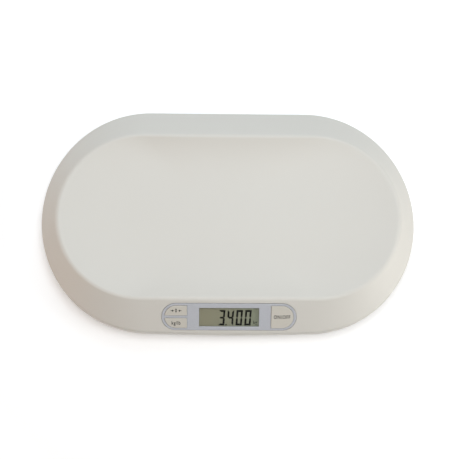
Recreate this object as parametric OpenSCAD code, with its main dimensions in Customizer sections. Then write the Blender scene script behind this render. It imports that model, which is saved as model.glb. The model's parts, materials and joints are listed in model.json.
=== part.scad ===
// Digital baby weighing scale: a shallow dished tray on a low base that stands on four
// load-cell feet, with a display panel and three keys let into the sloping front rim.
// Millimetres. Z is up, the floor is at z = 0, X runs left to right and the keys face -Y.

/* [Tray] */
// Overall length of the tray, left to right
tray_length = 555; // [550:1:560]
// Depth of the tray, front to back, without the bow of its front edge
tray_depth = 342; // [340:1:344]
// How far the middle of the front edge bows out
front_bow = 3; // [2:0.5:4]
// Length that each rounded end of the tray takes up
end_reach = 158.5; // [156:0.5:161]
// Height at which the two faces of the rim would meet
crest_z = 55; // [54:0.5:56]
// Length of the crest line round the dish
crest_length = 505; // [502:1:507]
// Depth of the crest line, front to back
crest_depth = 250.5; // [250:0.5:251]
// Depth of the dish below the crest
dish_drop = 22; // [20:0.5:22.5]
// How flat the bottom of the dish is
dish_power = 3.2; // [3:0.1:3.4]
// Wall thickness of the mouldings
wall = 2.5; // [2.3:0.1:2.6]

/* [Panel] */
// Length of the display panel
panel_length = 193; // [192:0.5:194]
// Height of the display panel, up the slope
panel_height = 40; // [39.5:0.5:40.5]
// Width of the silver border above and below the keys
key_border = 3.3; // [3.2:0.1:3.5]
// Width of the silver border at the rounded ends of the keys
key_end_border = 4; // [3.9:0.1:4.3]
// Length of the display window
window_length = 86; // [84:1:89]
// Height of the display window
window_height = 28; // [26:0.5:29]
// How far the keys stand above the panel
key_proud = 0.8; // [0.7:0.1:1]

/* [Feet] */
// Distance between the left and right feet
feet_span_x = 380; // [376:1:384]
// Distance between the front and back feet
feet_span_y = 204; // [202:1:206]
// Radius of a foot's rubber pad
pad_radius = 17; // [16:0.5:17]
// Gap between the base and the floor
ground_gap = 8; // [8:0.1:8.4]

/* [Battery] */
// Length of one battery's can
battery_length = 43.3; // [43:0.1:43.5]
// Radius of one battery
battery_radius = 5.25; // [5.1:0.05:5.25]

/* [Hidden] */
$fn = 64;
eps = 0.01;
CORNERS = [[-1, -1, "front_left"], [1, -1, "front_right"], [-1, 1, "back_left"], [1, 1, "back_right"]];

body_colour = [0.80, 0.785, 0.75];
base_colour = [0.76, 0.75, 0.72];
key_colour = [0.84, 0.82, 0.77];
silver_colour = [0.69, 0.70, 0.74];
window_colour = [0.80, 0.84, 0.80, 0.3];
lcd_colour = [0.57, 0.58, 0.49];
ink_colour = [0.07, 0.07, 0.07];
white_colour = [0.93, 0.93, 0.90];
steel_colour = [0.72, 0.73, 0.75];
rubber_colour = [0.16, 0.16, 0.17];
board_colour = [0.12, 0.38, 0.22];
black_colour = [0.10, 0.10, 0.11];
battery_colour = [0.20, 0.26, 0.42];
lead_colour = [0.30, 0.30, 0.32];

// ---- plan of the tray ---------------------------------------------------------------
// A ring is [half of its straight part, reach of its rounded end, half depth, power, centre].
// A column is [place along the straight part from -1 to 1, angle round the end].
centre_y = front_bow / 2;
middle = [0, centre_y];
crest_shift = -2;
bow_reach = 160;
outer_ring = [tray_length / 2 - end_reach, end_reach, tray_depth / 2, 2, centre_y];
crest_ring = [(crest_length - crest_depth) / 2, crest_depth / 2, crest_depth / 2, 2, centre_y + crest_shift];
front_steps = 10;
end_steps = 40;
columns = concat(
    [for (i = [0:front_steps - 1]) [-1 + 2 * i / front_steps, -90]],
    [for (i = [0:end_steps]) [1, -90 + 180 * i / end_steps]],
    [for (i = [0:end_steps - 1]) [-1, 90 + 180 * i / end_steps]]);
column_count = len(columns);

function signed_power(v, p) = sign(v) * pow(abs(v), p);
function ring_point(column, ring) =
    [column[0] * ring[0] + ring[1] * signed_power(cos(column[1]), 2 / ring[3]),
     ring[4] + ring[2] * signed_power(sin(column[1]), 2 / ring[3])];
function bow_at(column) = column[1] >= 0 ? 0 :
    front_bow * pow(max(0, 1 - pow(ring_point(column, outer_ring).x / bow_reach, 2)), 1.5);
function unit(v) = v / norm(v);
function at_z(p, z) = [p.x, p.y, z];

rim = [for (c = columns) ring_point(c, outer_ring) - [0, bow_at(c)]];
crest = [for (c = columns) ring_point(c, crest_ring)];
rim_inward = [for (i = [0:column_count - 1])
    let (along = rim[(i + 1) % column_count] - rim[(i + column_count - 1) % column_count])
    unit([-along.y, along.x])];

// ---- section of the tray ------------------------------------------------------------
seam_z = 16;
shoulder_z = 28;
shoulder_radius = 5;
shoulder_steps = 3;
crest_radius = 9;
crest_steps = 5;
dish_rings = 8;
dish_z = crest_z - dish_drop;
slope_run = (tray_depth - crest_depth) / 2 + crest_shift;
slope_rise = crest_z - shoulder_z;
slope_angle = atan2(slope_rise, slope_run);
slope_length = norm([slope_run, slope_rise]);

// Points of the arc of radius r that rounds the corner b of the path a, b, c.
function fillet(a, b, c, r, steps) =
    let (u = unit(a - b), v = unit(c - b), half = acos(u * v) / 2,
         hub = b + unit(u + v) * r / sin(half), first = b + u * r / tan(half) - hub,
         turn = 180 - 2 * half, way = -sign(u.x * v.y - u.y * v.x))
    [for (i = [0:steps]) let (t = way * turn * i / steps)
        hub + [first.x * cos(t) - first.y * sin(t), first.x * sin(t) + first.y * cos(t)]];

// A point at distance d in from the rim o, over the crest line c and on towards the middle.
function rim_point(o, c, d, z) =
    let (w = norm(c - o))
    at_z(d <= w ? o + (c - o) * d / w : c + unit(middle - c) * (d - w), z);

function dish_height(s) = dish_z + dish_drop * pow(s, dish_power);

// The outer face of the tray at one column, from the middle of the dish out and down to the seam.
function tray_section(i) =
    let (o = rim[i], c = crest[i], w = norm(c - o), reach = norm(c - middle),
         fall = dish_drop * dish_power / reach,
         seam = [0, seam_z], shoulder = [0, shoulder_z - bow_at(columns[i]) * tan(slope_angle)],
         top = [w, crest_z], inside = top + [1, -fall] * 2 * crest_radius,
         crest_arc = fillet(inside, top, shoulder, crest_radius, crest_steps),
         shoulder_arc = fillet(top, shoulder, seam, shoulder_radius, shoulder_steps),
         start = 1 - (crest_arc[0].x - w) / reach)
    concat(
        [for (k = [1:dish_rings - 1]) let (s = start * k / dish_rings)
            at_z(middle + (c - middle) * s, dish_height(s))],
        [for (p = concat(crest_arc, shoulder_arc, [seam])) rim_point(o, c, p.x, p.y)]);

tray_top = [for (i = [0:column_count - 1]) tray_section(i)];
row_count = len(tray_top[0]);

// The point one wall thickness under point k of column i.
function tray_under(i, k) =
    let (along = tray_top[(i + 1) % column_count][k] - tray_top[(i + column_count - 1) % column_count][k],
         low = k == row_count - 1 ? k : k + 1, high = k == row_count - 1 ? k - 1 : max(k - 1, 0))
    tray_top[i][k] - wall * unit(cross(along, tray_top[i][high] - tray_top[i][low]));

// A closed skin: paths[i] runs from near the first pole, outwards, round and back to the last pole.
module lofted(paths, first, last) {
    n = len(paths);
    rows = len(paths[0]);
    faces = [for (i = [0:n - 1]) let (a = i * rows, b = (i + 1) % n * rows) each concat(
        [[a, n * rows, b]],
        [for (k = [0:rows - 2]) each [[a + k, b + k, b + k + 1], [a + k, b + k + 1, a + k + 1]]],
        [[a + rows - 1, b + rows - 1, n * rows + 1]])];
    polyhedron(points = concat([for (path = paths) each path], [first, last]), faces = faces, convexity = 6);
}

// ---- the panel's own frame: local Z stands out of the slope, local Y runs up it -------
panel_drop = slope_length / 2 + 2.75;
panel_y = centre_y + crest_shift - crest_depth / 2 - panel_drop * cos(slope_angle);
panel_z = crest_z - panel_drop * sin(slope_angle);
plate_top = 0.4;
plate_low = -1.6;
groove = 0.5;
ledge = 1.8;
// The tray is thicker behind the panel: this far beyond the panel's edge, and this thick.
backing_margin = 3;
backing = 2.9;
window_y = -0.7;
window_low = plate_low - 1.2;
glass_top = window_low - 0.2;
glass_low = glass_top - 2.4;
glass_size = [93, 32];
frame_wall = 1.5;
frame_opening = [83, 20];
frame_clearance = 0.15;
strip_size = [86, 2];
strip_y = 3 - glass_size.y / 2;
strip_clearance = 0.2;
board_low = -10.8;
board_top = -9.2;
board_size = [210, 35];
board_screw_places = [for (x = [-1, 1], y = [-1, 1]) [101 * x, 9 * y]];
board_boss_radius = 3;
board_boss_top = -1.9;

// ---- parts on the board: places, footprints and heights under it -----------------------
chip_place = [-32, 2];
chip_size = [12, 12];
chip_thick = 1.6;
capacitor_places = [[30, 3], [40, 3], [50, 3]];
capacitor_radius = 2.5;
capacitor_length = 5.5;
resistor_places = [[-62, -4], [-56, -4], [-12, -4]];
resistor_size = [3.2, 1.8];
resistor_thick = 1.1;
crystal_place = [-46, -6];
crystal_size = [9, 3.4];
crystal_thick = 2.6;

module on_panel() translate([0, panel_y, panel_z]) rotate([slope_angle, 0, 0]) children();
function panel_point(x, y, z) = let (c = cos(slope_angle), s = sin(slope_angle))
    [x, panel_y + y * c - z * s, panel_z + y * s + z * c];

function around(size, margin) = size + [2 * margin, 2 * margin];
module slab(z0, z1) translate([0, 0, z0]) linear_extrude(z1 - z0) children();
module block(size, z0, z1) slab(z0, z1) square(size, center = true);
module peg(radius, z0, z1) translate([0, 0, z0]) cylinder(r = radius, h = z1 - z0);
module pill(length, height) {
    square([length - height, height], center = true);
    for (s = [-1, 1]) translate([s * (length - height) / 2, 0]) circle(d = height);
}

// The outline of the panel, grown all round by `grow`.
module panel_outline(grow = 0) pill(panel_length + 2 * grow, panel_height + 2 * grow);

// ---- keys ---------------------------------------------------------------------------
key_clearance = 0.35;
key_inner_x = 60.5;
key_gap = 2.1;
key_skirt = 0.4;
key_flange = 1;
key_flange_thick = 1.3;
key_flange_gap = 0.1;
stem_radius = 2;
stem_x = 76;
stem_y = 9.4;
switch_top = -5.7;
switch_size = [6, 6];
plunger_radius = 1.7;
plunger_clearance = 0.15;
plunger_depth = 0.9;
plunger_socket = 2.1;
plunger_top = -5;
// Each key is [name, side of the panel, row (0 for full height)]
KEYS = [["tare", -1, 1], ["unit", -1, -1], ["power", 1, 0]];
function stem_at(key) = [key[1] * stem_x, key[2] * stem_y];

// The outline of a key, grown all round by `grow`.
module key_outline(key, grow = 0) intersection() {
    pill(panel_length - 2 * key_end_border + 2 * grow, panel_height - 2 * key_border + 2 * grow);
    half_x = panel_length / 2 - key_inner_x + grow;
    translate([key[1] * (key_inner_x - grow + half_x / 2), key[2] * (key_gap - grow + panel_height / 2)])
        square([half_x, panel_height], center = true);
}

// ---- load cells and feet --------------------------------------------------------------
cup_radius = pad_radius + 2.5;
cup_low = 1.6;
pad_top = 3.2;
pad_chamfer = 0.6;
cup_top = 9;
cup_wall = 1.8;
cup_web = 2;
cup_chamfer = 0.5;
hub_radius = 6;
foot_hole = cup_radius + 0.8;
cell_z = 16;
cell_thick = 2;
cell_top = cell_z + cell_thick;
cell_size = [50, 34];
cell_window = [34, 22];
tongue_size = [24, 14];
neck_width = 8;
// The cup's stake goes through the tongue and is spread over it: radius, and low, high and height of its head.
stake_radius = 1.95;
stake_clearance = 0.05;
stake_head = [3.2, 2.4, 1.3];
bracket_size = [70, 34];
bracket_top = cell_top + 3;
bracket_screw_x = 30;
bracket_post_radius = 3.5;
pedestal_size = [4.4, 8];
gauge_x = [8, 16];
gauge_width = 9;
gauge_thick = 2.6;
gauge_y = 3;

// Local X of a foot points to the middle of the scale.
function foot_at(c) = [c.x * feet_span_x / 2, c.y * feet_span_y / 2 + centre_y];
module at_foot(c) translate(foot_at(c)) mirror([c.x > 0 ? 1 : 0, 0, 0]) children();

// ---- base -----------------------------------------------------------------------------
floor_z = ground_gap + wall;
seam_gap = 0.2;
lip_height = 3;
// Inner and outer faces of the base, as [inset from the rim, height], from the floor over the lip and down.
base_section = [[9.5, floor_z], [6.6, floor_z + 1], [4.9, floor_z + 3],
    [4.9, seam_z + lip_height], [2.9, seam_z + lip_height], [2.9, seam_z - seam_gap], [0.3, seam_z - seam_gap],
    [0.8, seam_z - 3], [2.2, ground_gap + 2.6], [4.8, ground_gap + 0.8], [8.5, ground_gap]];
screw_inset = 4;
screw_ring = crest_ring - [0, screw_inset, screw_inset, 0, 0];
screw_angles = [[1, -90], [1, -20], [1, 20], [1, 90], [-1, 90], [-1, 160], [-1, 200], [-1, 270]];
screw_places = [for (c = screw_angles) ring_point(c, screw_ring)];
well_top = 20;
well_web = 16;
well_radius = 6;
well_bore = 3.6;
rib_size = [70, 1.5];
rib_height = 5;
rib_places = [for (x = [-1, 1], y = [-60, 0, 60]) [x * 112, y + centre_y]];
boss_radius = 3.5;
// A boss reaches into the tray's wall, as high as the dish over the boss's inner side allows.
boss_tops = [for (c = screw_angles) let (reach = norm(ring_point(c, crest_ring) - middle))
    dish_height(1 - (screw_inset + boss_radius) / reach) - 0.6];

// ---- screws: [shank radius, shank length, head radius, head height] -----------------------
CASE_SCREW = [1.5, 16, 3, 2.2];
BOARD_SCREW = [1, 6.4, 2.2, 1.5];
CELL_SCREW = [1.2, 8, 2.6, 1.8];
// A pilot hole and a through hole are this much wider in radius than the shank.
pilot_gap = 0.05;
through_gap = 0.3;
cross_size = [0.8, 3.6];
cross_depth = 1.1;

// ---- battery bay ------------------------------------------------------------------------
battery_y = 22;
battery_pitch = 11;
battery_nub = 1.2;
nub_radius = 1.9;
spring_length = 6.7;
spring_radii = [4.2, 2.6];
plate_thick = 0.4;
contact_height = 9;
bay_wall = 1.5;
bay_size = [battery_length + battery_nub + spring_length + 2 * plate_thick, 4 * battery_pitch + 3];
bay_top = 22.4;
door_size = around(bay_size, 2.7);
door_thick = 1.6;
door_gap = 0.3;
// Grooves across the door for the thumb: size, depth, distance between them and from the bay's middle
grip_size = [16, 0.9];
grip_depth = 0.5;
grip_pitch = 2.2;
grip_y = 16;
barrel_radius = 1.2;
hinge_y = battery_y - door_size.y / 2 + barrel_radius;
hinge_z = ground_gap + barrel_radius;
pin_radius = 0.8;
pin_length = 2.2;
pin_clearance = 0.05;
pin_bore_length = 2.6;
battery_z = ground_gap + door_thick + 0.7 + battery_radius;
latch_width = 12;
latch_thick = 0.9;
latch_y = battery_y + bay_size.y / 2 + bay_wall + 0.2;
latch_reach = 3.1;
latch_arch_z = 13;
latch_nose = [1.9, 1.8];
latch_hole = [latch_width + 3, 4.5];

module along_x(x0, x1) translate([x0, 0, 0]) rotate([90, 0, 90]) linear_extrude(x1 - x0) children();

// A screw whose head bears upwards at z_head, with its shank above and a cross in its head.
module screw(kind, z_head) difference() {
    low = z_head - kind[3];
    union() {
        peg(kind[2], low, z_head);
        peg(kind[0], z_head - eps, z_head + kind[1]);
    }
    for (turn = [0, 90]) rotate(turn) block(cross_size, low - 1, low + cross_depth);
}

// ---- leads ------------------------------------------------------------------------------
lead_radius = 1.2;
lead_steps = 4;
socket_y = 8;
socket_width = 6;
socket_low = -15;
lead_pitch = 3.4;
lead_z = floor_z + 1.5;
front_route = [[-156, -94, 13.6], [-144, -94, lead_z], [-110, -95, lead_z], [-70, -95, lead_z],
    [-40, -95, lead_z], [-16, -97, lead_z]];
back_route = [[-156, 110, 13.6], [-144, 110, lead_z], [-100, 108, lead_z], [-70, 98, lead_z], [-60, 75, lead_z],
    [-60, 30, lead_z], [-60, -20, lead_z], [-54, -58, lead_z], [-32, -76, lead_z], [-9, -88, lead_z]];
battery_route = [[0, -9, 12.8], [0, -20, 12.2], [0, -45, lead_z], [0, -70, lead_z], [0, -90, lead_z]];

// A curve through the points, from the second of them to the last but one.
function smooth(p) = [for (i = [1:len(p) - 3], k = [0:lead_steps - (i < len(p) - 3 ? 1 : 0)])
    let (t = k / lead_steps)
    p[i] + (p[i + 1] - p[i - 1]) * t / 2 + (2 * p[i - 1] - 5 * p[i] + 4 * p[i + 1] - p[i + 2]) * t * t / 2
        + (3 * p[i] - p[i - 1] - 3 * p[i + 1] + p[i + 2]) * t * t * t / 2];
function path_of(p) = smooth(concat([2 * p[0] - p[1]], p, [2 * p[len(p) - 1] - p[len(p) - 2]]));

module tube(path, radius, sides = 8) {
    last = len(path) - 1;
    rings = [for (i = [0:last])
        let (t = unit(path[min(i + 1, last)] - path[max(i - 1, 0)]),
             u = unit(cross([0.1, 0.2, 1], t)), v = cross(t, u))
        [for (k = [0:sides - 1]) path[i] + radius * (u * cos(360 * k / sides) + v * sin(360 * k / sides))]];
    quads = [for (i = [0:last - 1], k = [0:sides - 1])
        let (a = i * sides + k, b = i * sides + (k + 1) % sides)
        each [[a, b + sides, b], [a, a + sides, b + sides]]];
    ends = [[for (k = [0:sides - 1]) k], [for (k = [sides - 1:-1:0]) last * sides + k]];
    polyhedron(points = [for (ring = rings) each ring], faces = concat(quads, ends), convexity = 8);
}

// The way from the end of a route over to the socket and up into it.
function into_socket(x) = concat([[x, -104, lead_z + 0.3], [x, -112, lead_z + 2]],
    [for (below = [14, 7, 0]) panel_point(x, socket_y, socket_low - below)]);
function mirrored(p, side) = [-side * p.x, p.y, p.z];
function foot_route(c) =
    let (foot = foot_at(c), x = c.x * lead_pitch * (c.y < 0 ? 2 : 1),
         start = [for (reach = [gauge_x[1], gauge_x[1] + 10])
            [foot.x - c.x * reach, foot.y + gauge_y + 3, cell_z - gauge_thick / 2]])
    concat(start, [for (p = c.y < 0 ? front_route : back_route) mirrored(p, c.x)], into_socket(x));

// ---- casings ------------------------------------------------------------------------------
module tray_shell() color(body_colour) difference() {
    union() {
        lofted([for (i = [0:column_count - 1])
                    concat(tray_top[i], [for (k = [row_count - 1:-1:0]) tray_under(i, k)])],
               at_z(middle, dish_z), at_z(middle, dish_z - wall));
        on_panel() slab(plate_low - backing, plate_low + 0.1) panel_outline(backing_margin);
        for (i = [0:len(screw_places) - 1]) translate(screw_places[i]) peg(boss_radius, well_top, boss_tops[i]);
        for (p = board_screw_places) on_panel() translate(p) peg(board_boss_radius, board_top, board_boss_top);
    }
    on_panel() slab(plate_low, 8) panel_outline(groove);
    on_panel() slab(board_low, 1) panel_outline(-ledge);
    for (p = screw_places) translate(p)
        peg(CASE_SCREW[0] + pilot_gap, well_top - 1, well_web + CASE_SCREW[1] + 1);
    for (p = board_screw_places) on_panel() translate(p)
        peg(BOARD_SCREW[0] + pilot_gap, board_top - 1, board_low + BOARD_SCREW[1] + 0.6);
}

module base_cover() color(base_colour) difference() {
    union() {
        lofted([for (i = [0:column_count - 1])
                    [for (p = base_section) at_z(rim[i] + rim_inward[i] * p.x, p.y)]],
               at_z(middle, floor_z), at_z(middle, ground_gap));
        for (p = screw_places) translate(p) peg(well_radius, ground_gap + 1, well_top);
        for (c = CORNERS) at_foot(c) {
            for (x = [-1, 1], y = [-1, 1])
                translate([x * (cell_size.x - pedestal_size.x) / 2, y * (cell_size.y - pedestal_size.y) / 2])
                    block(pedestal_size, floor_z - 1, cell_z);
            for (x = [-1, 1]) translate([x * bracket_screw_x, 0])
                peg(bracket_post_radius, floor_z - 1, cell_top);
        }
        translate([0, battery_y]) block(around(bay_size, bay_wall), floor_z - 1, bay_top + bay_wall);
        for (p = rib_places) translate(p) block(rib_size, floor_z - 1, floor_z + rib_height);
    }
    for (p = screw_places) translate(p) {
        peg(well_bore, 0, well_web);
        peg(CASE_SCREW[0] + through_gap, 0, well_top + 1);
    }
    for (c = CORNERS) at_foot(c) {
        peg(foot_hole, 0, floor_z + 1);
        for (x = [-1, 1]) translate([x * bracket_screw_x, 0])
            peg(CELL_SCREW[0] + pilot_gap, floor_z + 0.5, cell_top + 1);
    }
    translate([0, battery_y]) {
        block(bay_size, 0, bay_top);
        block(around(door_size, door_gap), 0, ground_gap + door_thick + 0.1);
    }
    translate([0, hinge_y, hinge_z]) {
        along_x(-door_size.x / 2 - door_gap, door_size.x / 2 + door_gap) circle(r = barrel_radius + door_gap);
        for (x = [-1, 1]) translate([x * (door_size.x + pin_bore_length) / 2, 0])
            along_x(-pin_bore_length / 2, pin_bore_length / 2) circle(r = pin_radius + pin_clearance);
    }
    translate([0, latch_y - 0.15 + latch_hole.y / 2]) block(latch_hole, 0, floor_z + 1);
}

module case_screws() color(steel_colour) for (p = screw_places) translate(p) screw(CASE_SCREW, well_web);

// ---- display ----------------------------------------------------------------------------
module bezel_plate() color(silver_colour) on_panel() difference() {
    slab(plate_low, plate_top) panel_outline();
    translate([0, window_y]) block([window_length, window_height], plate_low - 1, plate_top + 1);
    for (key = KEYS) slab(plate_low - 1, plate_top + 1) key_outline(key, key_clearance);
}

module display_window() color(window_colour) on_panel() block(glass_size, window_low, plate_low);

module lcd_glass() color(lcd_colour) on_panel() block(glass_size, glass_low, glass_top);

digit_size = [9.3, 23.2];
stroke = 2.9;
digit_pitch = 12.6;
digit_y = -2.3;
first_digit_x = -10.5;
ink_top = glass_top + 0.1;
dot_size = [2, 2];
unit_place = [37.6, -9.4];
unit_size = [2.6, 4.6];
// Segments of a digit in the order top, upper right, lower right, bottom, lower left, upper left, middle.
SEGMENTS = [[0, 1, 0], [1, 0.5, 90], [1, -0.5, 90], [0, -1, 0], [-1, -0.5, 90], [-1, 0.5, 90], [0, 0, 0]];
// Each figure is [place from the left, its lit segments]
FIGURES = [[0, [0, 1, 2, 3, 6]], [1, [1, 2, 5, 6]], [2, [0, 1, 2, 3, 4, 5]], [3, [0, 1, 2, 3, 4, 5]]];

module lcd_digits() color(ink_colour) on_panel() {
    for (figure = FIGURES, i = figure[1])
        let (s = SEGMENTS[i], long = (s[2] == 0 ? digit_size.x - stroke : (digit_size.y - stroke) / 2) - 0.6)
        translate([first_digit_x + figure[0] * digit_pitch + s.x * (digit_size.x - stroke) / 2,
                   digit_y + s.y * (digit_size.y - stroke) / 2])
            rotate(s[2]) block([long, stroke - 0.4], glass_top, ink_top);
    translate([first_digit_x + digit_pitch / 2, digit_y + (dot_size.y - digit_size.y) / 2])
        block(dot_size, glass_top, ink_top);
    for (x = [-1, 1]) translate(unit_place + [x * 2, 0]) block(unit_size, glass_top, ink_top);
}

module lcd_frame() color(white_colour) on_panel() difference() {
    block(around(glass_size, frame_wall), board_top, glass_top);
    block(around(glass_size, frame_clearance), glass_low, glass_top + 1);
    block(frame_opening, board_top - 1, glass_top);
    translate([0, strip_y]) block(around(strip_size, strip_clearance), board_top - 1, glass_top);
}

module contact_strip() color(black_colour) on_panel()
    translate([0, strip_y]) block(strip_size, board_top, glass_low);

module display_board() color(board_colour) on_panel() difference() {
    block(board_size, board_low, board_top);
    for (p = board_screw_places) translate(p) peg(BOARD_SCREW[0] + through_gap, board_low - 1, board_top + 1);
}

module controller_chip() color(black_colour) on_panel()
    translate(chip_place) block(chip_size, board_low - chip_thick, board_low);

module board_parts() color(black_colour) on_panel() {
    for (p = capacitor_places) translate(p) peg(capacitor_radius, board_low - capacitor_length, board_low);
    for (p = resistor_places) translate(p) block(resistor_size, board_low - resistor_thick, board_low);
    translate(crystal_place) block(crystal_size, board_low - crystal_thick, board_low);
}

module lead_socket() color(white_colour) on_panel()
    translate([0, socket_y]) block([5 * lead_pitch + 3, socket_width], socket_low, board_low);

module board_screws() color(steel_colour)
    for (p = board_screw_places) on_panel() translate(p) screw(BOARD_SCREW, board_low);

// ---- keys and their switches ---------------------------------------------------------------
module button(key) color(key_colour) on_panel() {
    flange_top = plate_low - key_flange_gap;
    slab(plate_low - key_skirt, plate_top + key_proud) key_outline(key);
    slab(flange_top - key_flange_thick, flange_top) key_outline(key, key_flange);
    translate(stem_at(key)) peg(stem_radius, plunger_top, flange_top - key_flange_thick / 2);
}

module switch_body(key) color(black_colour) on_panel() translate(stem_at(key)) difference() {
    block(switch_size, board_top, switch_top);
    peg(plunger_radius + plunger_clearance, switch_top - plunger_socket, switch_top + 1);
}

module plunger(key) color(white_colour) on_panel()
    translate(stem_at(key)) peg(plunger_radius, switch_top - plunger_depth, plunger_top);

// ---- feet and load cells ---------------------------------------------------------------------
module foot_pad(c) color(rubber_colour) at_foot(c) rotate_extrude() polygon([
    [0, 0], [pad_radius - pad_chamfer, 0], [pad_radius, pad_chamfer], [pad_radius, pad_top], [0, pad_top]]);

module foot_cup(c) color(base_colour) at_foot(c) rotate_extrude() polygon([
    [0, pad_top], [pad_radius, pad_top], [pad_radius, cup_low],
    [cup_radius - cup_chamfer, cup_low], [cup_radius, cup_low + cup_chamfer],
    [cup_radius, cup_top], [cup_radius - cup_wall, cup_top],
    [cup_radius - cup_wall, pad_top + cup_web], [hub_radius, pad_top + cup_web],
    [hub_radius, cell_z], [stake_radius, cell_z], [stake_radius, cell_top], [stake_head[0], cell_top],
    [stake_head[1], cell_top + stake_head[2]], [0, cell_top + stake_head[2]]]);

module load_cell(c) color(steel_colour) at_foot(c) difference() {
    block(cell_size, cell_z, cell_top);
    difference() {
        block(cell_window, cell_z - 1, cell_top + 1);
        block(tongue_size, cell_z - 2, cell_top + 2);
        translate([cell_window.x / 4 + 2, 0]) block([cell_window.x / 2, neck_width], cell_z - 2, cell_top + 2);
    }
    peg(stake_radius + stake_clearance, cell_z - 1, cell_top + 1);
}

module strain_gauges() color(white_colour) for (c = CORNERS) at_foot(c)
    translate([(gauge_x[0] + gauge_x[1]) / 2, gauge_y])
        block([gauge_x[1] - gauge_x[0], gauge_width], cell_z - gauge_thick, cell_z);

module cell_bracket(c) color(white_colour) at_foot(c) difference() {
    block(bracket_size, cell_top, bracket_top);
    block(cell_window, cell_z, bracket_top + 1);
    for (x = [-1, 1]) translate([x * bracket_screw_x, 0])
        peg(CELL_SCREW[0] + through_gap, cell_z, bracket_top + 1);
}

module load_cell_screws() color(steel_colour) for (c = CORNERS, x = [-1, 1]) at_foot(c)
    translate([x * bracket_screw_x, 0, bracket_top]) mirror([0, 0, 1]) screw(CELL_SCREW, 0);

module foot_lead(c) color(lead_colour) tube(path_of(foot_route(c)), lead_radius);

// ---- battery compartment ------------------------------------------------------------------------
module battery_door() color(base_colour) {
    translate([0, battery_y + barrel_radius / 2]) difference() {
        block(door_size - [0, barrel_radius], ground_gap, ground_gap + door_thick);
        for (i = [-1:1]) translate([0, grip_y + i * grip_pitch]) block(grip_size, 0, ground_gap + grip_depth);
    }
    translate([0, hinge_y, hinge_z]) {
        along_x(-door_size.x / 2, door_size.x / 2) circle(r = barrel_radius);
        along_x(-door_size.x / 2 - pin_length, door_size.x / 2 + pin_length) circle(r = pin_radius);
    }
}

// A springy hook whose nose rests on the base's floor plate beside the door.
module battery_door_latch() color(base_colour) along_x(-latch_width / 2, latch_width / 2) {
    door_top = ground_gap + door_thick;
    outside = latch_y + latch_reach;
    translate([latch_y, door_top]) square([latch_thick, latch_arch_z - door_top]);
    translate([outside - latch_thick, ground_gap + 0.3]) square([latch_thick, latch_arch_z - ground_gap - 0.3]);
    intersection() {
        translate([(latch_y + outside) / 2, latch_arch_z]) difference() {
            circle(r = latch_reach / 2);
            circle(r = latch_reach / 2 - latch_thick);
        }
        translate([latch_y, latch_arch_z]) square(latch_reach);
    }
    translate([outside, floor_z + 0.1])
        polygon([[-0.2, 0], [latch_nose.x, 0], [0, latch_nose.y - 0.1], [-0.2, latch_nose.y - 0.1]]);
}

module at_battery(i) translate([0, battery_y + (i - 2.5) * battery_pitch, battery_z])
    mirror([i % 2, 0, 0]) translate([-bay_size.x / 2 + plate_thick, 0, 0]) children();

module battery(i) color(battery_colour) at_battery(i) {
    can_end = spring_length + battery_length;
    along_x(spring_length, can_end) circle(r = battery_radius);
    along_x(can_end - eps, can_end + battery_nub) circle(r = nub_radius);
}

module battery_springs() color(steel_colour) for (i = [1:4]) at_battery(i)
    rotate([0, 90, 0]) cylinder(r1 = spring_radii[0], r2 = spring_radii[1], h = spring_length);

module battery_plates() color(steel_colour) for (x = [-1, 1], y = [-1, 1])
    translate([x * (bay_size.x - plate_thick) / 2, battery_y + y * battery_pitch, battery_z - contact_height / 2])
        block([plate_thick, 2 * battery_pitch - 2], 0, contact_height);

module battery_lead() color(lead_colour) {
    bay_exit = [0, battery_y - bay_size.y / 2 - bay_wall, 13];
    tube(path_of(concat([bay_exit], battery_route, into_socket(0))), lead_radius);
}

tray_shell();
base_cover();
case_screws();
bezel_plate();
display_window();
lcd_glass();
lcd_digits();
lcd_frame();
contact_strip();
display_board();
controller_chip();
board_parts();
lead_socket();
board_screws();
for (key = KEYS) {
    button(key);
    switch_body(key);
    plunger(key);
}
battery_door();
battery_door_latch();
battery_plates();
battery_springs();
battery_lead();
strain_gauges();
load_cell_screws();
for (i = [1:4]) battery(i);
for (c = CORNERS) {
    foot_pad(c);
    foot_cup(c);
    load_cell(c);
    cell_bracket(c);
    foot_lead(c);
}
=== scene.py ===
"""Digital baby weighing scale: a dished tray on a low base, dressed for rendering.

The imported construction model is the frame. This script gives it finer surfaces and finishes.
"""

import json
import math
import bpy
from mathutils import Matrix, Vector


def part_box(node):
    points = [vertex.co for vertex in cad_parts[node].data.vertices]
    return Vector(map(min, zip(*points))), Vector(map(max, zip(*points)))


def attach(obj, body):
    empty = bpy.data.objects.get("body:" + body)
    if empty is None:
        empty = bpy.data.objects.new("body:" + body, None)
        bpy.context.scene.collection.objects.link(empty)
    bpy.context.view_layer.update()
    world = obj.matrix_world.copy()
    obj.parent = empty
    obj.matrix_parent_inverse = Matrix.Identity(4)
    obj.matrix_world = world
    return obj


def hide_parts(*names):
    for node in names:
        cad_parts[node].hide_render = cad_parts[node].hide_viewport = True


bl_info = {
    "name": "Baby Weighing Scale",
    "version": (1, 0, 0),
    "blender": (4, 5, 0),
    "location": "3D View > Sidebar > Scale",
    "description": "Builds the surfaces, finishes and stage of a digital baby weighing scale",
    "category": "Add Mesh",
}

import bmesh
import bpy
import numpy as np
from mathutils import Matrix, Vector

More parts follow.
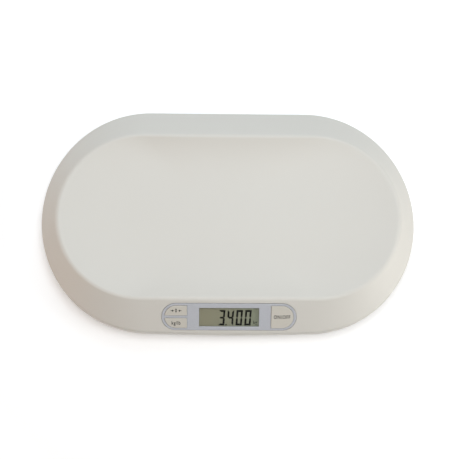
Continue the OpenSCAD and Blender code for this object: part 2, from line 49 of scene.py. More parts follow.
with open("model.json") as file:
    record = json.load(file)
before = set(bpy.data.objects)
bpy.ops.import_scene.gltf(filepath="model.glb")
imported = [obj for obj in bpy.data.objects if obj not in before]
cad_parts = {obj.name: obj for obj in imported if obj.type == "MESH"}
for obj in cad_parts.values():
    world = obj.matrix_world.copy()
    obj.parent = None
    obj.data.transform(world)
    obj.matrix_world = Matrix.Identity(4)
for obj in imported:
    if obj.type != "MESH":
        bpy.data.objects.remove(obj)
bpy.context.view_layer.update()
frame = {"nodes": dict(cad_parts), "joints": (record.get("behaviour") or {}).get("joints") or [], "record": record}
MM = 0.001
CORNERS = ("front_left", "front_right", "back_left", "back_right")
KEYS = ("tare", "unit", "power")


# ---------------------------------------------------------------- sizes and colours


def length(name, description, default):
    """A size in metres that a user may change, given here in millimetres."""
    return bpy.props.FloatProperty(
        name=name, description=description, default=default * MM, unit="LENGTH", precision=5
    )


def colour(name, description, default):
    """A colour as it looks on screen, from 0 to 1."""
    return bpy.props.FloatVectorProperty(
        name=name, description=description, default=default, size=3, min=0, max=1, subtype="COLOR_GAMMA"
    )


TRAY_LOW, TRAY_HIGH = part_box("tray_shell")
TRAY_SIZE = (TRAY_HIGH - TRAY_LOW) / MM
FRONT_BOW = 3
# The angle in degrees over which an edge between two faces is left sharp.
SHARP_ANGLE = 35
# Height above the floor that the lamps and the camera aim at.
AIM_HEIGHT = 30 * MM


class ScaleTraySizes(bpy.types.PropertyGroup):
    tray_length: length("Tray length", "Overall length, left to right", TRAY_SIZE.x)
    tray_depth: length("Tray depth", "Depth of the tray without its front bow", TRAY_SIZE.y - FRONT_BOW)
    front_bow: length("Front bow", "How far the middle of the front edge bows out", FRONT_BOW)
    bow_reach: length("Bow reach", "Distance from the middle at which the bow ends", 160)
    end_reach: length("End reach", "Length that each rounded end takes up", 158.5)
    crest_length: length("Crest length", "Length of the crest line round the dish", 505)
    crest_depth: length("Crest depth", "Depth of the crest line", 250.5)
    crest_shift: length("Crest shift", "How far the crest line sits towards the display", -2)
    crest_height: length("Crest height", "Height at which the two faces of the rim would meet", 55)
    crest_radius: length("Crest radius", "Rounding of the crest", 9)
    shoulder_height: length("Shoulder height", "Height at which the slope would meet the side", 28)
    shoulder_radius: length("Shoulder radius", "Rounding between the slope and the side", 5)
    seam_height: length("Seam height", "Height of the seam between tray and base", 16)
    dish_drop: length("Dish drop", "Depth of the dish below the crest", 22)
    dish_power: bpy.props.FloatProperty(
        name="Dish power", description="How flat the dish's bottom is", default=3.2
    )
    wall: length("Wall", "Wall thickness of the mouldings", 2.5)


class ScalePanelSizes(bpy.types.PropertyGroup):
    panel_length: length("Panel length", "Length of the silver panel", 193)
    panel_height: length("Panel height", "Height of the silver panel, up the slope", 40)
    groove: length("Groove", "Gap round the silver panel", 0.5)
    ledge: length("Ledge", "Width of the ledge that carries the panel's edge", 1.8)
    backing: length("Backing", "Thickness of the tray behind the panel", 2.9)
    backing_margin: length("Backing margin", "How far the thicker part reaches beyond the panel", 3)
    key_border: length("Key border", "Silver border above and below the keys", 3.3)
    key_end_border: length("Key end border", "Silver border outside the keys' round ends", 4)
    key_inner: length("Key inner edge", "Distance from the panel's middle to the keys", 60.5)
    key_gap: length("Key gap", "Distance from the panel's middle line to a small key", 2.1)
    key_clearance: length("Key clearance", "Gap round a key", 0.35)
    key_proud: length("Key height", "How far a key stands above the panel", 0.8)
    key_corner: length("Key corner", "Rounding of a key's corners", 0.9)
    key_skirt: length("Key skirt", "How far a key's sides reach below the panel", 0.4)
    key_flange: length("Key flange", "Width of the flange that holds a key in", 1)
    flange_thick: length("Flange thickness", "Thickness of a key's flange", 1.3)
    flange_gap: length("Flange gap", "Gap between a key's flange and the panel", 0.1)
    key_place: length("Key place", "Distance of the keys' stems from the panel's middle", 76)
    key_row: length("Key row", "Distance of a small key's stem from the panel's middle line", 9.4)
    window_length: length("Window length", "Length of the display window", 86)
    window_height: length("Window height", "Height of the display window", 28)
    window_row: length("Window row", "Place of the window up the panel", -0.7)
    plate_top: length("Plate top", "Height of the panel's face above the slope", 0.4)
    plate_low: length("Plate underside", "Height of the panel's underside above the slope", -1.6)
    digit_height: length("Digit height", "Height of a display digit", 23.2)
    digit_width: length("Digit width", "Width of a display digit", 9.3)
    stroke: length("Stroke", "Width of a display segment", 2.9)
    digit_slant: bpy.props.FloatProperty(
        name="Digit slant", description="Lean of the digits to the right", default=0.06
    )
    digit_pitch: length("Digit pitch", "Distance from one digit to the next", 12.6)
    first_digit: length("First digit", "Place of the first digit along the panel", -10.5)
    digit_row: length("Digit row", "Place of the digits up the panel", -2.3)
    unit_place: length("Unit place", "Place of the unit along the panel", 37.6)
    unit_row: length("Unit row", "Place of the unit up the panel", -9.4)
    unit_height: length("Unit height", "Height of the unit's letters", 5)
    mark_height: length("Mark height", "Height of the letters printed on the keys", 5.4)


class ScaleColours(bpy.types.PropertyGroup):
    tray: colour("Tray", "Light grey of the tray", (0.83, 0.815, 0.785))
    base: colour("Base", "Grey of the lower casing", (0.79, 0.775, 0.75))
    keys: colour("Keys", "Pale beige of the keys", (0.80, 0.78, 0.74))
    silver: colour("Panel", "Silver grey of the display panel", (0.695, 0.70, 0.72))
    display: colour("Display", "Olive grey of the display", (0.62, 0.622, 0.53))
    ink: colour("Ink", "Dark print of the digits and marks", (0.04, 0.035, 0.03))


def tray_sizes():
    """The tray's sizes, as the scene holds them."""
    return bpy.context.scene.scale_tray_sizes


def panel_sizes():
    """The sizes of the panel, the keys and the display, as the scene holds them."""
    return bpy.context.scene.scale_panel_sizes


def scale_colours():
    """The colours, as the scene holds them."""
    return bpy.context.scene.scale_colours


# ---------------------------------------------------------------- surfaces from arrays


def smoothed(mesh):
    """Shades the mesh smooth, except over its sharp edges."""
    mesh.shade_smooth()
    mesh.set_sharp_from_angle(angle=math.radians(SHARP_ANGLE))


def vertex_places(mesh):
    """The mesh's vertices as an array of points."""
    points = np.empty(len(mesh.vertices) * 3)
    mesh.vertices.foreach_get("co", points)
    return points.reshape(-1, 3)


def add_mesh(name, vertices, faces):
    """A new object from an array of vertices and a list of faces, smooth except over sharp edges."""
    mesh = bpy.data.meshes.new(name)
    mesh.from_pydata(np.asarray(vertices, float).tolist(), [], faces)
    mesh.validate()
    mesh.update()
    piece = bpy.data.objects.new(name, mesh)
    bpy.context.scene.collection.objects.link(piece)
    smoothed(mesh)
    return piece


def grid_faces(rows, columns, closed_rows=True, closed_columns=False):
    """Quads of a grid stored row by row. Rows are stations along a path, columns run round its section."""
    i = np.arange(rows if closed_rows else rows - 1)[:, None]
    j = np.arange(columns if closed_columns else columns - 1)[None, :]
    a = i * columns + j
    b = (i + 1) % rows * columns + j
    c = (i + 1) % rows * columns + (j + 1) % columns
    d = i * columns + (j + 1) % columns
    return np.stack([a, b, c, d], -1).reshape(-1, 4).tolist()


def tube_faces(rings, around):
    """Faces of a tube of rings that each run anticlockwise, with one more face over either end."""
    faces = [face[::-1] for face in grid_faces(rings, around, closed_rows=False, closed_columns=True)]
    return faces + [list(range(around))[::-1], list(range((rings - 1) * around, rings * around))]


def lofted(name, paths, first=None, last=None):
    """A closed skin: paths[i] runs from near the pole `first`, round the body and back to `last`."""
    count, rows = paths.shape[:2]
    faces = grid_faces(count, rows)
    vertices = [paths.reshape(-1, 3)]
    following = (np.arange(count) + 1) % count
    total = count * rows
    if first is not None:
        vertices.append(np.array([first]))
        faces += np.stack([np.full(count, total), following * rows, np.arange(count) * rows], -1).tolist()
        total += 1
    if last is not None:
        vertices.append(np.array([last]))
        ends = np.arange(count) * rows + rows - 1
        faces += np.stack([ends, following * rows + rows - 1, np.full(count, total)], -1).tolist()
    return add_mesh(name, np.concatenate(vertices), faces)


def revolved(name, profile, steps=64, axis=None):
    """A profile of (radius, height) turned round +Z, then placed by `axis`.

    x = r cos t, y = r sin t, z = h.
    """
    profile = np.asarray(profile, float)
    t = np.linspace(0, 2 * np.pi, steps, endpoint=False)
    ring = np.stack([np.cos(t), np.sin(t)], -1)
    inner = profile[1:-1] if profile[0][0] == 0 and profile[-1][0] == 0 else profile
    points = np.empty((steps, len(inner), 3))
    points[..., :2] = ring[:, None, :] * inner[None, :, :1]
    points[..., 2] = inner[None, :, 1]
    first = (0, 0, profile[0][1]) if profile[0][0] == 0 else None
    last = (0, 0, profile[-1][1]) if profile[-1][0] == 0 else None
    piece = lofted(name, points, first, last)
    if axis is not None:
        piece.data.transform(axis)
    return piece


def swept_tube(path, radius, sides=10):
    """Vertices and faces of a tube: each ring is p + r (u cos t + v sin t), with u, v square to the path."""
    path = np.asarray(path, float)
    tangent = np.gradient(path, axis=0)
    tangent /= np.linalg.norm(tangent, axis=1)[:, None]
    side = np.cross(np.array([0.1, 0.2, 1.0]), tangent)
    side /= np.linalg.norm(side, axis=1)[:, None]
    up = np.cross(tangent, side)
    t = np.linspace(0, 2 * np.pi, sides, endpoint=False)[None, :, None]
    rings = path[:, None] + radius * (side[:, None] * np.cos(t) + up[:, None] * np.sin(t))
    return rings.reshape(-1, 3), tube_faces(len(path), sides)


def joined(name, parts):
    """One object from several (vertices, faces) pairs."""
    vertices, faces, offset = [], [], 0
    for points, quads in parts:
        vertices.append(points)
        faces += [[index + offset for index in quad] for quad in quads]
        offset += len(points)
    return add_mesh(name, np.concatenate(vertices), faces)


def arc(centre, radius, start, end, steps):
    """Points c + r (cos t, sin t) from angle start to end, in degrees."""
    t = np.radians(np.linspace(start, end, steps + 1))
    return np.asarray(centre) + radius * np.stack([np.cos(t), np.sin(t)], -1)


def pill(length, height, steps=48):
    """Outline of a stadium: two half circles joined by straight sides, anticlockwise."""
    r = height / 2
    x = length / 2 - r
    return np.concatenate([arc((x, 0), r, -90, 90, steps), arc((-x, 0), r, 90, 270, steps)])


def rounded_corners(points, radius, steps=6):
    """The outline with each sharp corner swapped for an arc of the radius that touches both its sides."""
    points = np.asarray(points, float)
    out = []
    for before, corner, after in zip(np.roll(points, 1, 0), points, np.roll(points, -1, 0)):
        u, v = before - corner, after - corner
        u, v = u / np.linalg.norm(u), v / np.linalg.norm(v)
        turn = math.pi - math.acos(max(-1, min(1, float(u @ v))))
        if turn < math.radians(20):
            out.append(corner[None])
            continue
        reach = radius * math.tan(turn / 2)
        hub = corner + (u + v) / np.linalg.norm(u + v) * math.hypot(radius, reach)
        a = corner + u * reach - hub
        b = corner + v * reach - hub
        s = np.linspace(0, 1, steps + 1)[:, None]
        out.append(hub + (a * np.sin((1 - s) * turn) + b * np.sin(s * turn)) / math.sin(turn))
    return np.concatenate(out)


def grown(outline, distance):
    """The closed outline moved outwards by the distance along its own normals."""
    along = np.roll(outline, -1, 0) - np.roll(outline, 1, 0)
    normal = np.stack([along[:, 1], -along[:, 0]], -1)
    return outline + distance * normal / np.linalg.norm(normal, axis=1)[:, None]


def stacked(outline, levels):
    """Vertices and faces of a closed outline stacked at levels of (distance it is grown by, height)."""
    rings = [np.column_stack([grown(outline, d), np.full(len(outline), z)]) for d, z in levels]
    return np.concatenate(rings), tube_faces(len(rings), len(outline))


def moulded_block(outline, low, high, edge, steps=4):
    """Vertices and faces of an extruded outline whose upper edge is rounded to a quarter circle."""
    levels = [(0, low), (0, high - edge)]
    t = np.radians(np.linspace(0, 90, steps + 1))[1:]
    levels += [(-edge * (1 - math.cos(a)), high - edge + edge * math.sin(a)) for a in t]
    return stacked(outline, levels)


def evaluated_mesh(piece):
    """The piece's mesh with its modifiers applied, as a new mesh."""
    graph = bpy.context.evaluated_depsgraph_get()
    return bpy.data.meshes.new_from_object(piece.evaluated_get(graph), depsgraph=graph)


def flat_plate(name, outlines, low, high, edge, place):
    """A plate with holes: filled outlines, extruded from low to high, with rounded edges."""
    curve = bpy.data.curves.new(name, "CURVE")
    curve.dimensions = "2D"
    curve.fill_mode = "BOTH"
    curve.extrude = (high - low) / 2 - edge
    curve.bevel_depth = edge
    curve.bevel_resolution = 2
    curve.offset = -edge
    for outline in outlines:
        spline = curve.splines.new("POLY")
        spline.points.add(len(outline) - 1)
        points = np.column_stack([outline, np.zeros(len(outline)), np.ones(len(outline))])
        spline.points.foreach_set("co", points.ravel())
        spline.use_cyclic_u = True
    maker = bpy.data.objects.new(name + "_outline", curve)
    bpy.context.scene.collection.objects.link(maker)
    mesh = evaluated_mesh(maker)
    bpy.data.objects.remove(maker)
    bpy.data.curves.remove(curve)
    mesh.transform(Matrix.Translation((0, 0, (high + low) / 2)))
    mesh.transform(place)
    return tidy_object(name, mesh)


def tidy_object(name, mesh):
    """An object from a mesh made by a tool: doubles merged, normals outwards, sharp edges kept."""
    made = bmesh.new()
    made.from_mesh(mesh)
    bmesh.ops.remove_doubles(made, verts=made.verts, dist=2e-6)
    bmesh.ops.recalc_face_normals(made, faces=made.faces)
    made.to_mesh(mesh)
    made.free()
    mesh.name = name
    mesh.materials.clear()
    piece = bpy.data.objects.new(name, mesh)
    bpy.context.scene.collection.objects.link(piece)
    smoothed(mesh)
    return piece


def combined(piece, others, operation):
    """The piece joined with the other closed pieces, or with them taken out of it. The others are used up."""
    for other in others:
        change = piece.modifiers.new("combine", "BOOLEAN")
        change.operation = operation
        change.solver = "EXACT"
        change.object = other
    mesh = evaluated_mesh(piece)
    name = piece.name
    for used in (piece, *others):
        bpy.data.objects.remove(used)
    return tidy_object(name, mesh)


def steady_normals(piece):
    """Lets the large faces decide the shading beside a cut."""
    change = piece.modifiers.new("steady_normals", "WEIGHTED_NORMAL")
    change.keep_sharp = True
    change.weight = 80
    return piece


def lettering(name, words, height, at, place, thick=0.05 * MM, weight=0.09 * MM, width=0.78):
    """Printed words as a thin mesh centred on `at`.

    The capitals have the height given, and the letters are drawn in sideways by `width`.
    """
    text = bpy.data.curves.new(name, "FONT")
    text.body = words
    text.align_x = "CENTER"
    text.align_y = "CENTER"
    text.size = height / 0.7
    text.space_character = 1.14
    text.extrude = thick / 2
    text.offset = weight
    text.resolution_u = 4
    maker = bpy.data.objects.new(name + "_text", text)
    bpy.context.scene.collection.objects.link(maker)
    mesh = evaluated_mesh(maker)
    bpy.data.objects.remove(maker)
    bpy.data.curves.remove(text)
    middle = Matrix.Translation((at[0], at[1], at[2] + thick / 2))
    mesh.transform(middle @ Matrix.Diagonal((width, 1, 1, 1)))
    mesh.transform(place)
    return tidy_object(name, mesh)


# ---------------------------------------------------------------- the tray's surface


def unit_rows(v):
    """The vectors of the array's last axis, each made one long."""
    return v / np.linalg.norm(v, axis=-1, keepdims=True)


def tray_columns(end_steps, front_steps):
    """Places round the tray: where along the straight part, from -1 to 1, and the angle round the end."""
    straight = np.stack([np.linspace(-1, 1, front_steps, endpoint=False), np.full(front_steps, -90.0)], -1)
    back = np.stack([np.linspace(1, -1, front_steps, endpoint=False), np.full(front_steps, 90.0)], -1)
    ends = np.linspace(-90, 90, end_steps, endpoint=False)
    right = np.stack([np.ones(end_steps), ends], -1)
    left = np.stack([-np.ones(end_steps), ends + 180], -1)
    return np.concatenate([straight, right, back, left])


def ring_points(columns, straight, reach, depth, centre):
    """x = s a + A cos t, y = c + B sin t: straight sides with elliptic ends."""
    t = np.radians(columns[:, 1])
    return np.stack([columns[:, 0] * straight + reach * np.cos(t), centre + depth / 2 * np.sin(t)], -1)


def front_bow(rim):
    """b (1 - (x / X)^2)^1.5 along the front half, and nothing along the back."""
    s = tray_sizes()
    falling = np.clip(1 - (rim[:, 0] / s.bow_reach) ** 2, 0, None) ** 1.5
    return np.where(rim[:, 1] < s.front_bow / 2, s.front_bow * falling, 0)


def tray_plan(columns):
    """Outer edge and crest line of the tray at the columns, in plan, and the bow of the edge."""
    s = tray_sizes()
    centre = s.front_bow / 2
    rim = ring_points(columns, s.tray_length / 2 - s.end_reach, s.end_reach, s.tray_depth, centre)
    crest_reach = s.crest_depth / 2
    straight = s.crest_length / 2 - crest_reach
    crest = ring_points(columns, straight, crest_reach, s.crest_depth, centre + s.crest_shift)
    bow = front_bow(rim)
    rim[:, 1] -= bow
    return rim, crest, bow


def slope_angle():
    """Tilt of the front slope in radians: the keys' slide axis is the slope's normal, turned inwards."""
    axis = next(joint["axis"] for joint in frame["joints"] if joint["name"] == "tare_press")
    return math.atan2(axis[1], -axis[2])


def rounded_corner(a, b, c, radius, steps):
    """For each row, the arc that rounds corner b of the path a, b, c, in the section's plane."""
    u, v = unit_rows(a - b), unit_rows(c - b)
    half = np.arccos(np.clip((u * v).sum(-1), -1, 1)) / 2
    hub = b + unit_rows(u + v) * (radius / np.sin(half))[:, None]
    start = b + u * (radius / np.tan(half))[:, None] - hub
    way = -np.sign(u[:, 0] * v[:, 1] - u[:, 1] * v[:, 0])
    t = (way * (np.pi - 2 * half))[:, None] * np.linspace(0, 1, steps + 1)
    x = start[:, :1] * np.cos(t) - start[:, 1:] * np.sin(t)
    y = start[:, :1] * np.sin(t) + start[:, 1:] * np.cos(t)
    return hub[:, None] + np.stack([x, y], -1)


def between(a, b, steps):
    """Points strictly between a and b, as many as steps - 1."""
    t = (np.arange(1, steps) / steps)[None, :, None]
    return a[:, None] * (1 - t) + b[:, None] * t


def tray_outer_face(columns):
    """The tray's outer face, column by column, from the middle of the dish over the crest to the seam.

    In the dish z = floor + drop s^p, with s from 0 in the middle to 1 on the crest line. The rim is a
    straight slope with rounded corners, drawn in the plane through the crest and the outer edge.
    """
    s = tray_sizes()
    rim, crest, bow = tray_plan(columns)
    middle = np.array([0, s.front_bow / 2])
    width = np.linalg.norm(crest - rim, axis=1)
    reach = np.linalg.norm(crest - middle, axis=1)
    fall = s.dish_drop * s.dish_power / reach
    zero = np.zeros(len(columns))
    seam = np.stack([zero, zero + s.seam_height], -1)
    shoulder = np.stack([zero, s.shoulder_height - bow * math.tan(slope_angle())], -1)
    top = np.stack([width, zero + s.crest_height], -1)
    inside = top + np.stack([zero + 1, -fall], -1) * 2 * s.crest_radius
    crest_arc = rounded_corner(inside, top, shoulder, s.crest_radius, 16)
    shoulder_arc = rounded_corner(top, shoulder, seam, s.shoulder_radius, 8)
    edge = 0.6 * MM
    seam_in = seam + [2 * edge, 0]
    seam_arc = rounded_corner(shoulder, seam, seam_in, edge, 3)
    slope = between(crest_arc[:, -1], shoulder_arc[:, 0], 8)
    side = between(shoulder_arc[:, -1], seam_arc[:, 0], 3)
    section = np.concatenate([crest_arc, slope, shoulder_arc, side, seam_arc], 1)
    outwards = unit_rows(crest - rim)
    to_middle = unit_rows(middle - crest)
    over = section[..., 0] - width[:, None]
    plan = np.where(
        (over > 0)[..., None],
        crest[:, None] + to_middle[:, None] * over[..., None],
        rim[:, None] + outwards[:, None] * section[..., :1],
    )
    outer = np.concatenate([plan, section[..., 1:]], -1)
    start = 1 - over[:, 0] / reach
    share = start[:, None] * np.linspace(0, 1, 49)[1:-1][None, :]
    dish_plan = middle + (crest - middle)[:, None] * share[..., None]
    dish_z = s.crest_height - s.dish_drop + s.dish_drop * share**s.dish_power
    dish = np.concatenate([dish_plan, dish_z[..., None]], -1)
    return np.concatenate([dish, outer], 1)


def one_wall_under(outer, wall):
    """The same grid moved inwards by the wall thickness along the grid's own normals."""
    along = np.roll(outer, -1, 0) - np.roll(outer, 1, 0)
    down = np.gradient(outer, axis=1)
    normal = unit_rows(np.cross(down, along))
    return outer - wall * normal


def panel_place():
    """Place of the display panel: X along it, Y up the slope, Z out of it."""
    p = panel_sizes()
    low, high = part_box("bezel_plate")
    tilt = Matrix.Rotation(slope_angle(), 4, "X")
    out = tilt @ Vector((0, 0, 1))
    plate_middle = (p.plate_top + p.plate_low) / 2
    return Matrix.Translation((low + high) / 2 - out * plate_middle) @ tilt


def panel_outline(grow=0.0):
    """Outline of the silver panel, a stadium, grown all round by `grow`."""
    p = panel_sizes()
    return pill(p.panel_length + 2 * grow, p.panel_height + 2 * grow, 64)


def flared_cutter(name, outline, low, high, flare, place):
    """A cutter whose mouth flares out in a quarter circle, which rounds the edge it leaves."""
    levels = [(0, low), (0, high - flare)]
    t = np.radians(np.linspace(0, 90, 5))[1:]
    levels += [(flare * (1 - math.cos(a)), high - flare + flare * math.sin(a)) for a in t]
    levels += [(flare, high + 3 * MM)]
    cutter = joined(name, [stacked(outline, levels)])
    cutter.data.transform(place)
    return cutter


# ---------------------------------------------------------------- finishes


def linear(rgb):
    """A screen colour as the linear value that a shader takes, with alpha 1."""
    return tuple(c / 12.92 if c <= 0.04045 else ((c + 0.055) / 1.055) ** 2.4 for c in rgb) + (1.0,)


def shade(rgb, factor):
    """The colour made lighter or darker by the factor, kept from 0 to 1."""
    return tuple(max(0.0, min(1.0, c * factor)) for c in rgb)


def node_group(name, inputs, outputs):
    """An empty shader group with the sockets named, and its input and output nodes."""
    group = bpy.data.node_groups.new(name, "ShaderNodeTree")
    for label, kind, default in inputs:
        socket = group.interface.new_socket(label, in_out="INPUT", socket_type=kind)
        socket.default_value = default
    for label, kind in outputs:
        group.interface.new_socket(label, in_out="OUTPUT", socket_type=kind)
    return group, group.nodes.new("NodeGroupInput"), group.nodes.new("NodeGroupOutput")


def feed(tree, value, socket):
    """Gives a node's socket its value, which is a number, a colour or another node's socket."""
    if isinstance(value, bpy.types.NodeSocket):
        tree.links.new(value, socket)
    else:
        socket.default_value = value


def object_place(tree):
    """The place of each point in the piece's own coordinates."""
    return tree.nodes.new("ShaderNodeTexCoord").outputs["Object"]


def noise(tree, coordinates, scale, detail=2.0, roughness=0.5):
    """Cloudy noise from 0 to 1, with the scale in features per metre."""
    node = tree.nodes.new("ShaderNodeTexNoise")
    node.inputs["Detail"].default_value = detail
    node.inputs["Roughness"].default_value = roughness
    tree.links.new(coordinates, node.inputs["Vector"])
    feed(tree, scale, node.inputs["Scale"])
    return node.outputs["Fac"]


def math_node(tree, operation, a, b, c=None, clamp=False):
    """The result of a Math node of two or three values, cut off at 0 and 1 if it is clamped."""
    node = tree.nodes.new("ShaderNodeMath")
    node.operation = operation
    node.use_clamp = clamp
    for socket, value in zip(node.inputs, (a, b, c)):
        if value is not None:
            feed(tree, value, socket)
    return node.outputs[0]


def mix_sockets(node):
    """The factor, first and second colour sockets and the colour result of a Mix node set to colours."""
    picked = {socket.identifier: socket for socket in node.inputs}
    result = {socket.identifier: socket for socket in node.outputs}
    return picked["Factor_Float"], picked["A_Color"], picked["B_Color"], result["Result_Color"]


def blended(tree, share, a, b):
    """A Mix node of two colours: the share of the second is 0 to 1."""
    node = tree.nodes.new("ShaderNodeMix")
    node.data_type = "RGBA"
    factor, first, second, result = mix_sockets(node)
    for value, socket in ((share, factor), (a, first), (b, second)):
        feed(tree, value, socket)
    return result


def moulding_group():
    """Moulded plastic: a fine eroded grain and a little uneven sheen.

    Height = fine noise + half of a coarser noise. Colour = a darker and a lighter tone, mixed by
    2.2 clouds + 0.5 cut off at 1, which is the lighter tone nearly everywhere.
    """
    name = "moulded_grain"
    if name in bpy.data.node_groups:
        return bpy.data.node_groups[name]
    group, given, made = node_group(
        name,
        [
            ("Dark", "NodeSocketColor", (0.5, 0.5, 0.5, 1)),
            ("Light", "NodeSocketColor", (0.6, 0.6, 0.6, 1)),
            ("Grain Scale", "NodeSocketFloat", 1500.0),
            ("Cloud Scale", "NodeSocketFloat", 9.0),
            ("Roughness Low", "NodeSocketFloat", 0.4),
            ("Roughness Span", "NodeSocketFloat", 0.1),
        ],
        [("Color", "NodeSocketColor"), ("Roughness", "NodeSocketFloat"), ("Height", "NodeSocketFloat")],
    )
    place = object_place(group)
    fine = noise(group, place, given.outputs["Grain Scale"], 2.0, 0.55)
    half_scale = math_node(group, "MULTIPLY", given.outputs["Grain Scale"], 0.31)
    coarse = noise(group, place, half_scale, 1.0)
    clouds = noise(group, place, given.outputs["Cloud Scale"], 3.0, 0.55)
    spread = math_node(group, "MULTIPLY_ADD", clouds, 2.2, 0.5, clamp=True)
    tone = blended(group, spread, given.outputs["Dark"], given.outputs["Light"])
    group.links.new(tone, made.inputs["Color"])
    relief = math_node(group, "ADD", fine, math_node(group, "MULTIPLY", coarse, 0.5))
    group.links.new(relief, made.inputs["Height"])
    uneven = math_node(group, "MULTIPLY", clouds, given.outputs["Roughness Span"])
    rough = math_node(group, "ADD", uneven, given.outputs["Roughness Low"])
    group.links.new(rough, made.inputs["Roughness"])
    return group


def metal_group():
    """Plated or painted metal: short scratches along one axis and a fine sparkle."""
    name = "metal_grain"
    if name in bpy.data.node_groups:
        return bpy.data.node_groups[name]
    group, given, made = node_group(
        name,
        [
            ("Dark", "NodeSocketColor", (0.5, 0.5, 0.5, 1)),
            ("Light", "NodeSocketColor", (0.7, 0.7, 0.7, 1)),
            ("Fleck Scale", "NodeSocketFloat", 2500.0),
            ("Stretch", "NodeSocketFloat", 1.0),
            ("Roughness Low", "NodeSocketFloat", 0.3),
            ("Roughness Span", "NodeSocketFloat", 0.15),
        ],
        [("Color", "NodeSocketColor"), ("Roughness", "NodeSocketFloat"), ("Height", "NodeSocketFloat")],
    )
    place = object_place(group)
    stretch = group.nodes.new("ShaderNodeCombineXYZ")
    group.links.new(given.outputs["Stretch"], stretch.inputs["X"])
    stretch.inputs["Y"].default_value = 1.0
    stretch.inputs["Z"].default_value = 1.0
    drawn = group.nodes.new("ShaderNodeVectorMath")
    drawn.operation = "MULTIPLY"
    group.links.new(place, drawn.inputs[0])
    group.links.new(stretch.outputs[0], drawn.inputs[1])
    flecks = noise(group, drawn.outputs[0], given.outputs["Fleck Scale"], 1.5, 0.6)
    sharp = math_node(group, "MULTIPLY_ADD", flecks, 3.0, -1.0, clamp=True)
    tone = blended(group, sharp, given.outputs["Dark"], given.outputs["Light"])
    group.links.new(tone, made.inputs["Color"])
    group.links.new(flecks, made.inputs["Height"])
    uneven = math_node(group, "MULTIPLY", sharp, given.outputs["Roughness Span"])
    rough = math_node(group, "ADD", uneven, given.outputs["Roughness Low"])
    group.links.new(rough, made.inputs["Roughness"])
    return group


def blank_material(name):
    """A new material, its node tree and its Principled shader."""
    material = bpy.data.materials.new(name)
    material.use_nodes = True
    return material, material.node_tree, material.node_tree.nodes["Principled BSDF"]


def finish_from(group, name, rgb, variation, settings, surface, bump, bump_distance):
    """A material whose colour, roughness and bump come from a group, with the rest set on the shader."""
    material, tree, shader = blank_material(name)
    source = tree.nodes.new("ShaderNodeGroup")
    source.node_tree = group
    source.inputs["Dark"].default_value = linear(shade(rgb, 1 - variation))
    source.inputs["Light"].default_value = linear(shade(rgb, 1 + variation))
    for label, value in settings.items():
        source.inputs[label].default_value = value
    for label, value in surface.items():
        shader.inputs[label].default_value = value
    tree.links.new(source.outputs["Color"], shader.inputs["Base Color"])
    tree.links.new(source.outputs["Roughness"], shader.inputs["Roughness"])
    if bump:
        relief = tree.nodes.new("ShaderNodeBump")
        relief.inputs["Strength"].default_value = bump
        relief.inputs["Distance"].default_value = bump_distance
        tree.links.new(source.outputs["Height"], relief.inputs["Height"])
        tree.links.new(relief.outputs["Normal"], shader.inputs["Normal"])
    return material


# Depth in metres of the grain that the bump stands for.
PLASTIC_GRAIN = 0.00005
METAL_GRAIN = 0.00003


def plastic(name, rgb, low=0.42, span=0.12, grain=1400.0, bump=0.25, variation=0.012, specular=0.45):
    """Moulded plastic in a screen colour."""
    settings = {"Grain Scale": grain, "Roughness Low": low, "Roughness Span": span}
    surface = {"Specular IOR Level": specular}
    return finish_from(moulding_group(), name, rgb, variation, settings, surface, bump, PLASTIC_GRAIN)


def metal(
    name, rgb, metallic=1.0, low=0.28, span=0.15, flecks=2500.0, stretch=1.0, bump=0.1, variation=0.06
):
    """Plated or painted metal in a screen colour, with flecks of a darker and a lighter tone."""
    settings = {"Fleck Scale": flecks, "Stretch": stretch, "Roughness Low": low, "Roughness Span": span}
    surface = {"Metallic": metallic}
    return finish_from(metal_group(), name, rgb, variation, settings, surface, bump, METAL_GRAIN)


# What the display's colour is multiplied by at its left and right ends.
DISPLAY_LEFT = (1.015, 0.975, 0.955)
DISPLAY_RIGHT = (0.985, 1.025, 1.045)


def display_finish():
    """The display's back: olive grey, a shade browner on the left, with a faint haze."""
    material, tree, shader = blank_material("display_back")
    place = object_place(tree)
    split = tree.nodes.new("ShaderNodeSeparateXYZ")
    tree.links.new(place, split.inputs[0])
    across = math_node(tree, "MULTIPLY_ADD", split.outputs["X"], 11.0, 0.5, clamp=True)
    haze = noise(tree, place, 30.0, 2.0)
    hazy = math_node(tree, "MULTIPLY", haze, 0.15)
    share = math_node(tree, "ADD", hazy, math_node(tree, "MULTIPLY", across, 0.85))
    base = scale_colours().display
    left, right = (linear([c * t for c, t in zip(base, tint)]) for tint in (DISPLAY_LEFT, DISPLAY_RIGHT))
    tree.links.new(blended(tree, share, left, right), shader.inputs["Base Color"])
    tree.links.new(math_node(tree, "MULTIPLY_ADD", haze, 0.1, 0.4), shader.inputs["Roughness"])
    shader.inputs["Specular IOR Level"].default_value = 0.25
    return material


def clear_finish():
    """Clear acrylic: nearly all of it lets the view through, with a faint uneven polish."""
    material, tree, shader = blank_material("clear_window")
    haze = noise(tree, object_place(tree), 60.0, 2.0)
    tree.links.new(math_node(tree, "MULTIPLY", haze, 0.12), shader.inputs["Roughness"])
    shader.inputs["Base Color"].default_value = (0.05, 0.055, 0.05, 1)
    shader.inputs["Alpha"].default_value = 0.06
    shader.inputs["Coat Weight"].default_value = 0.1
    return material


FINISHES = {}


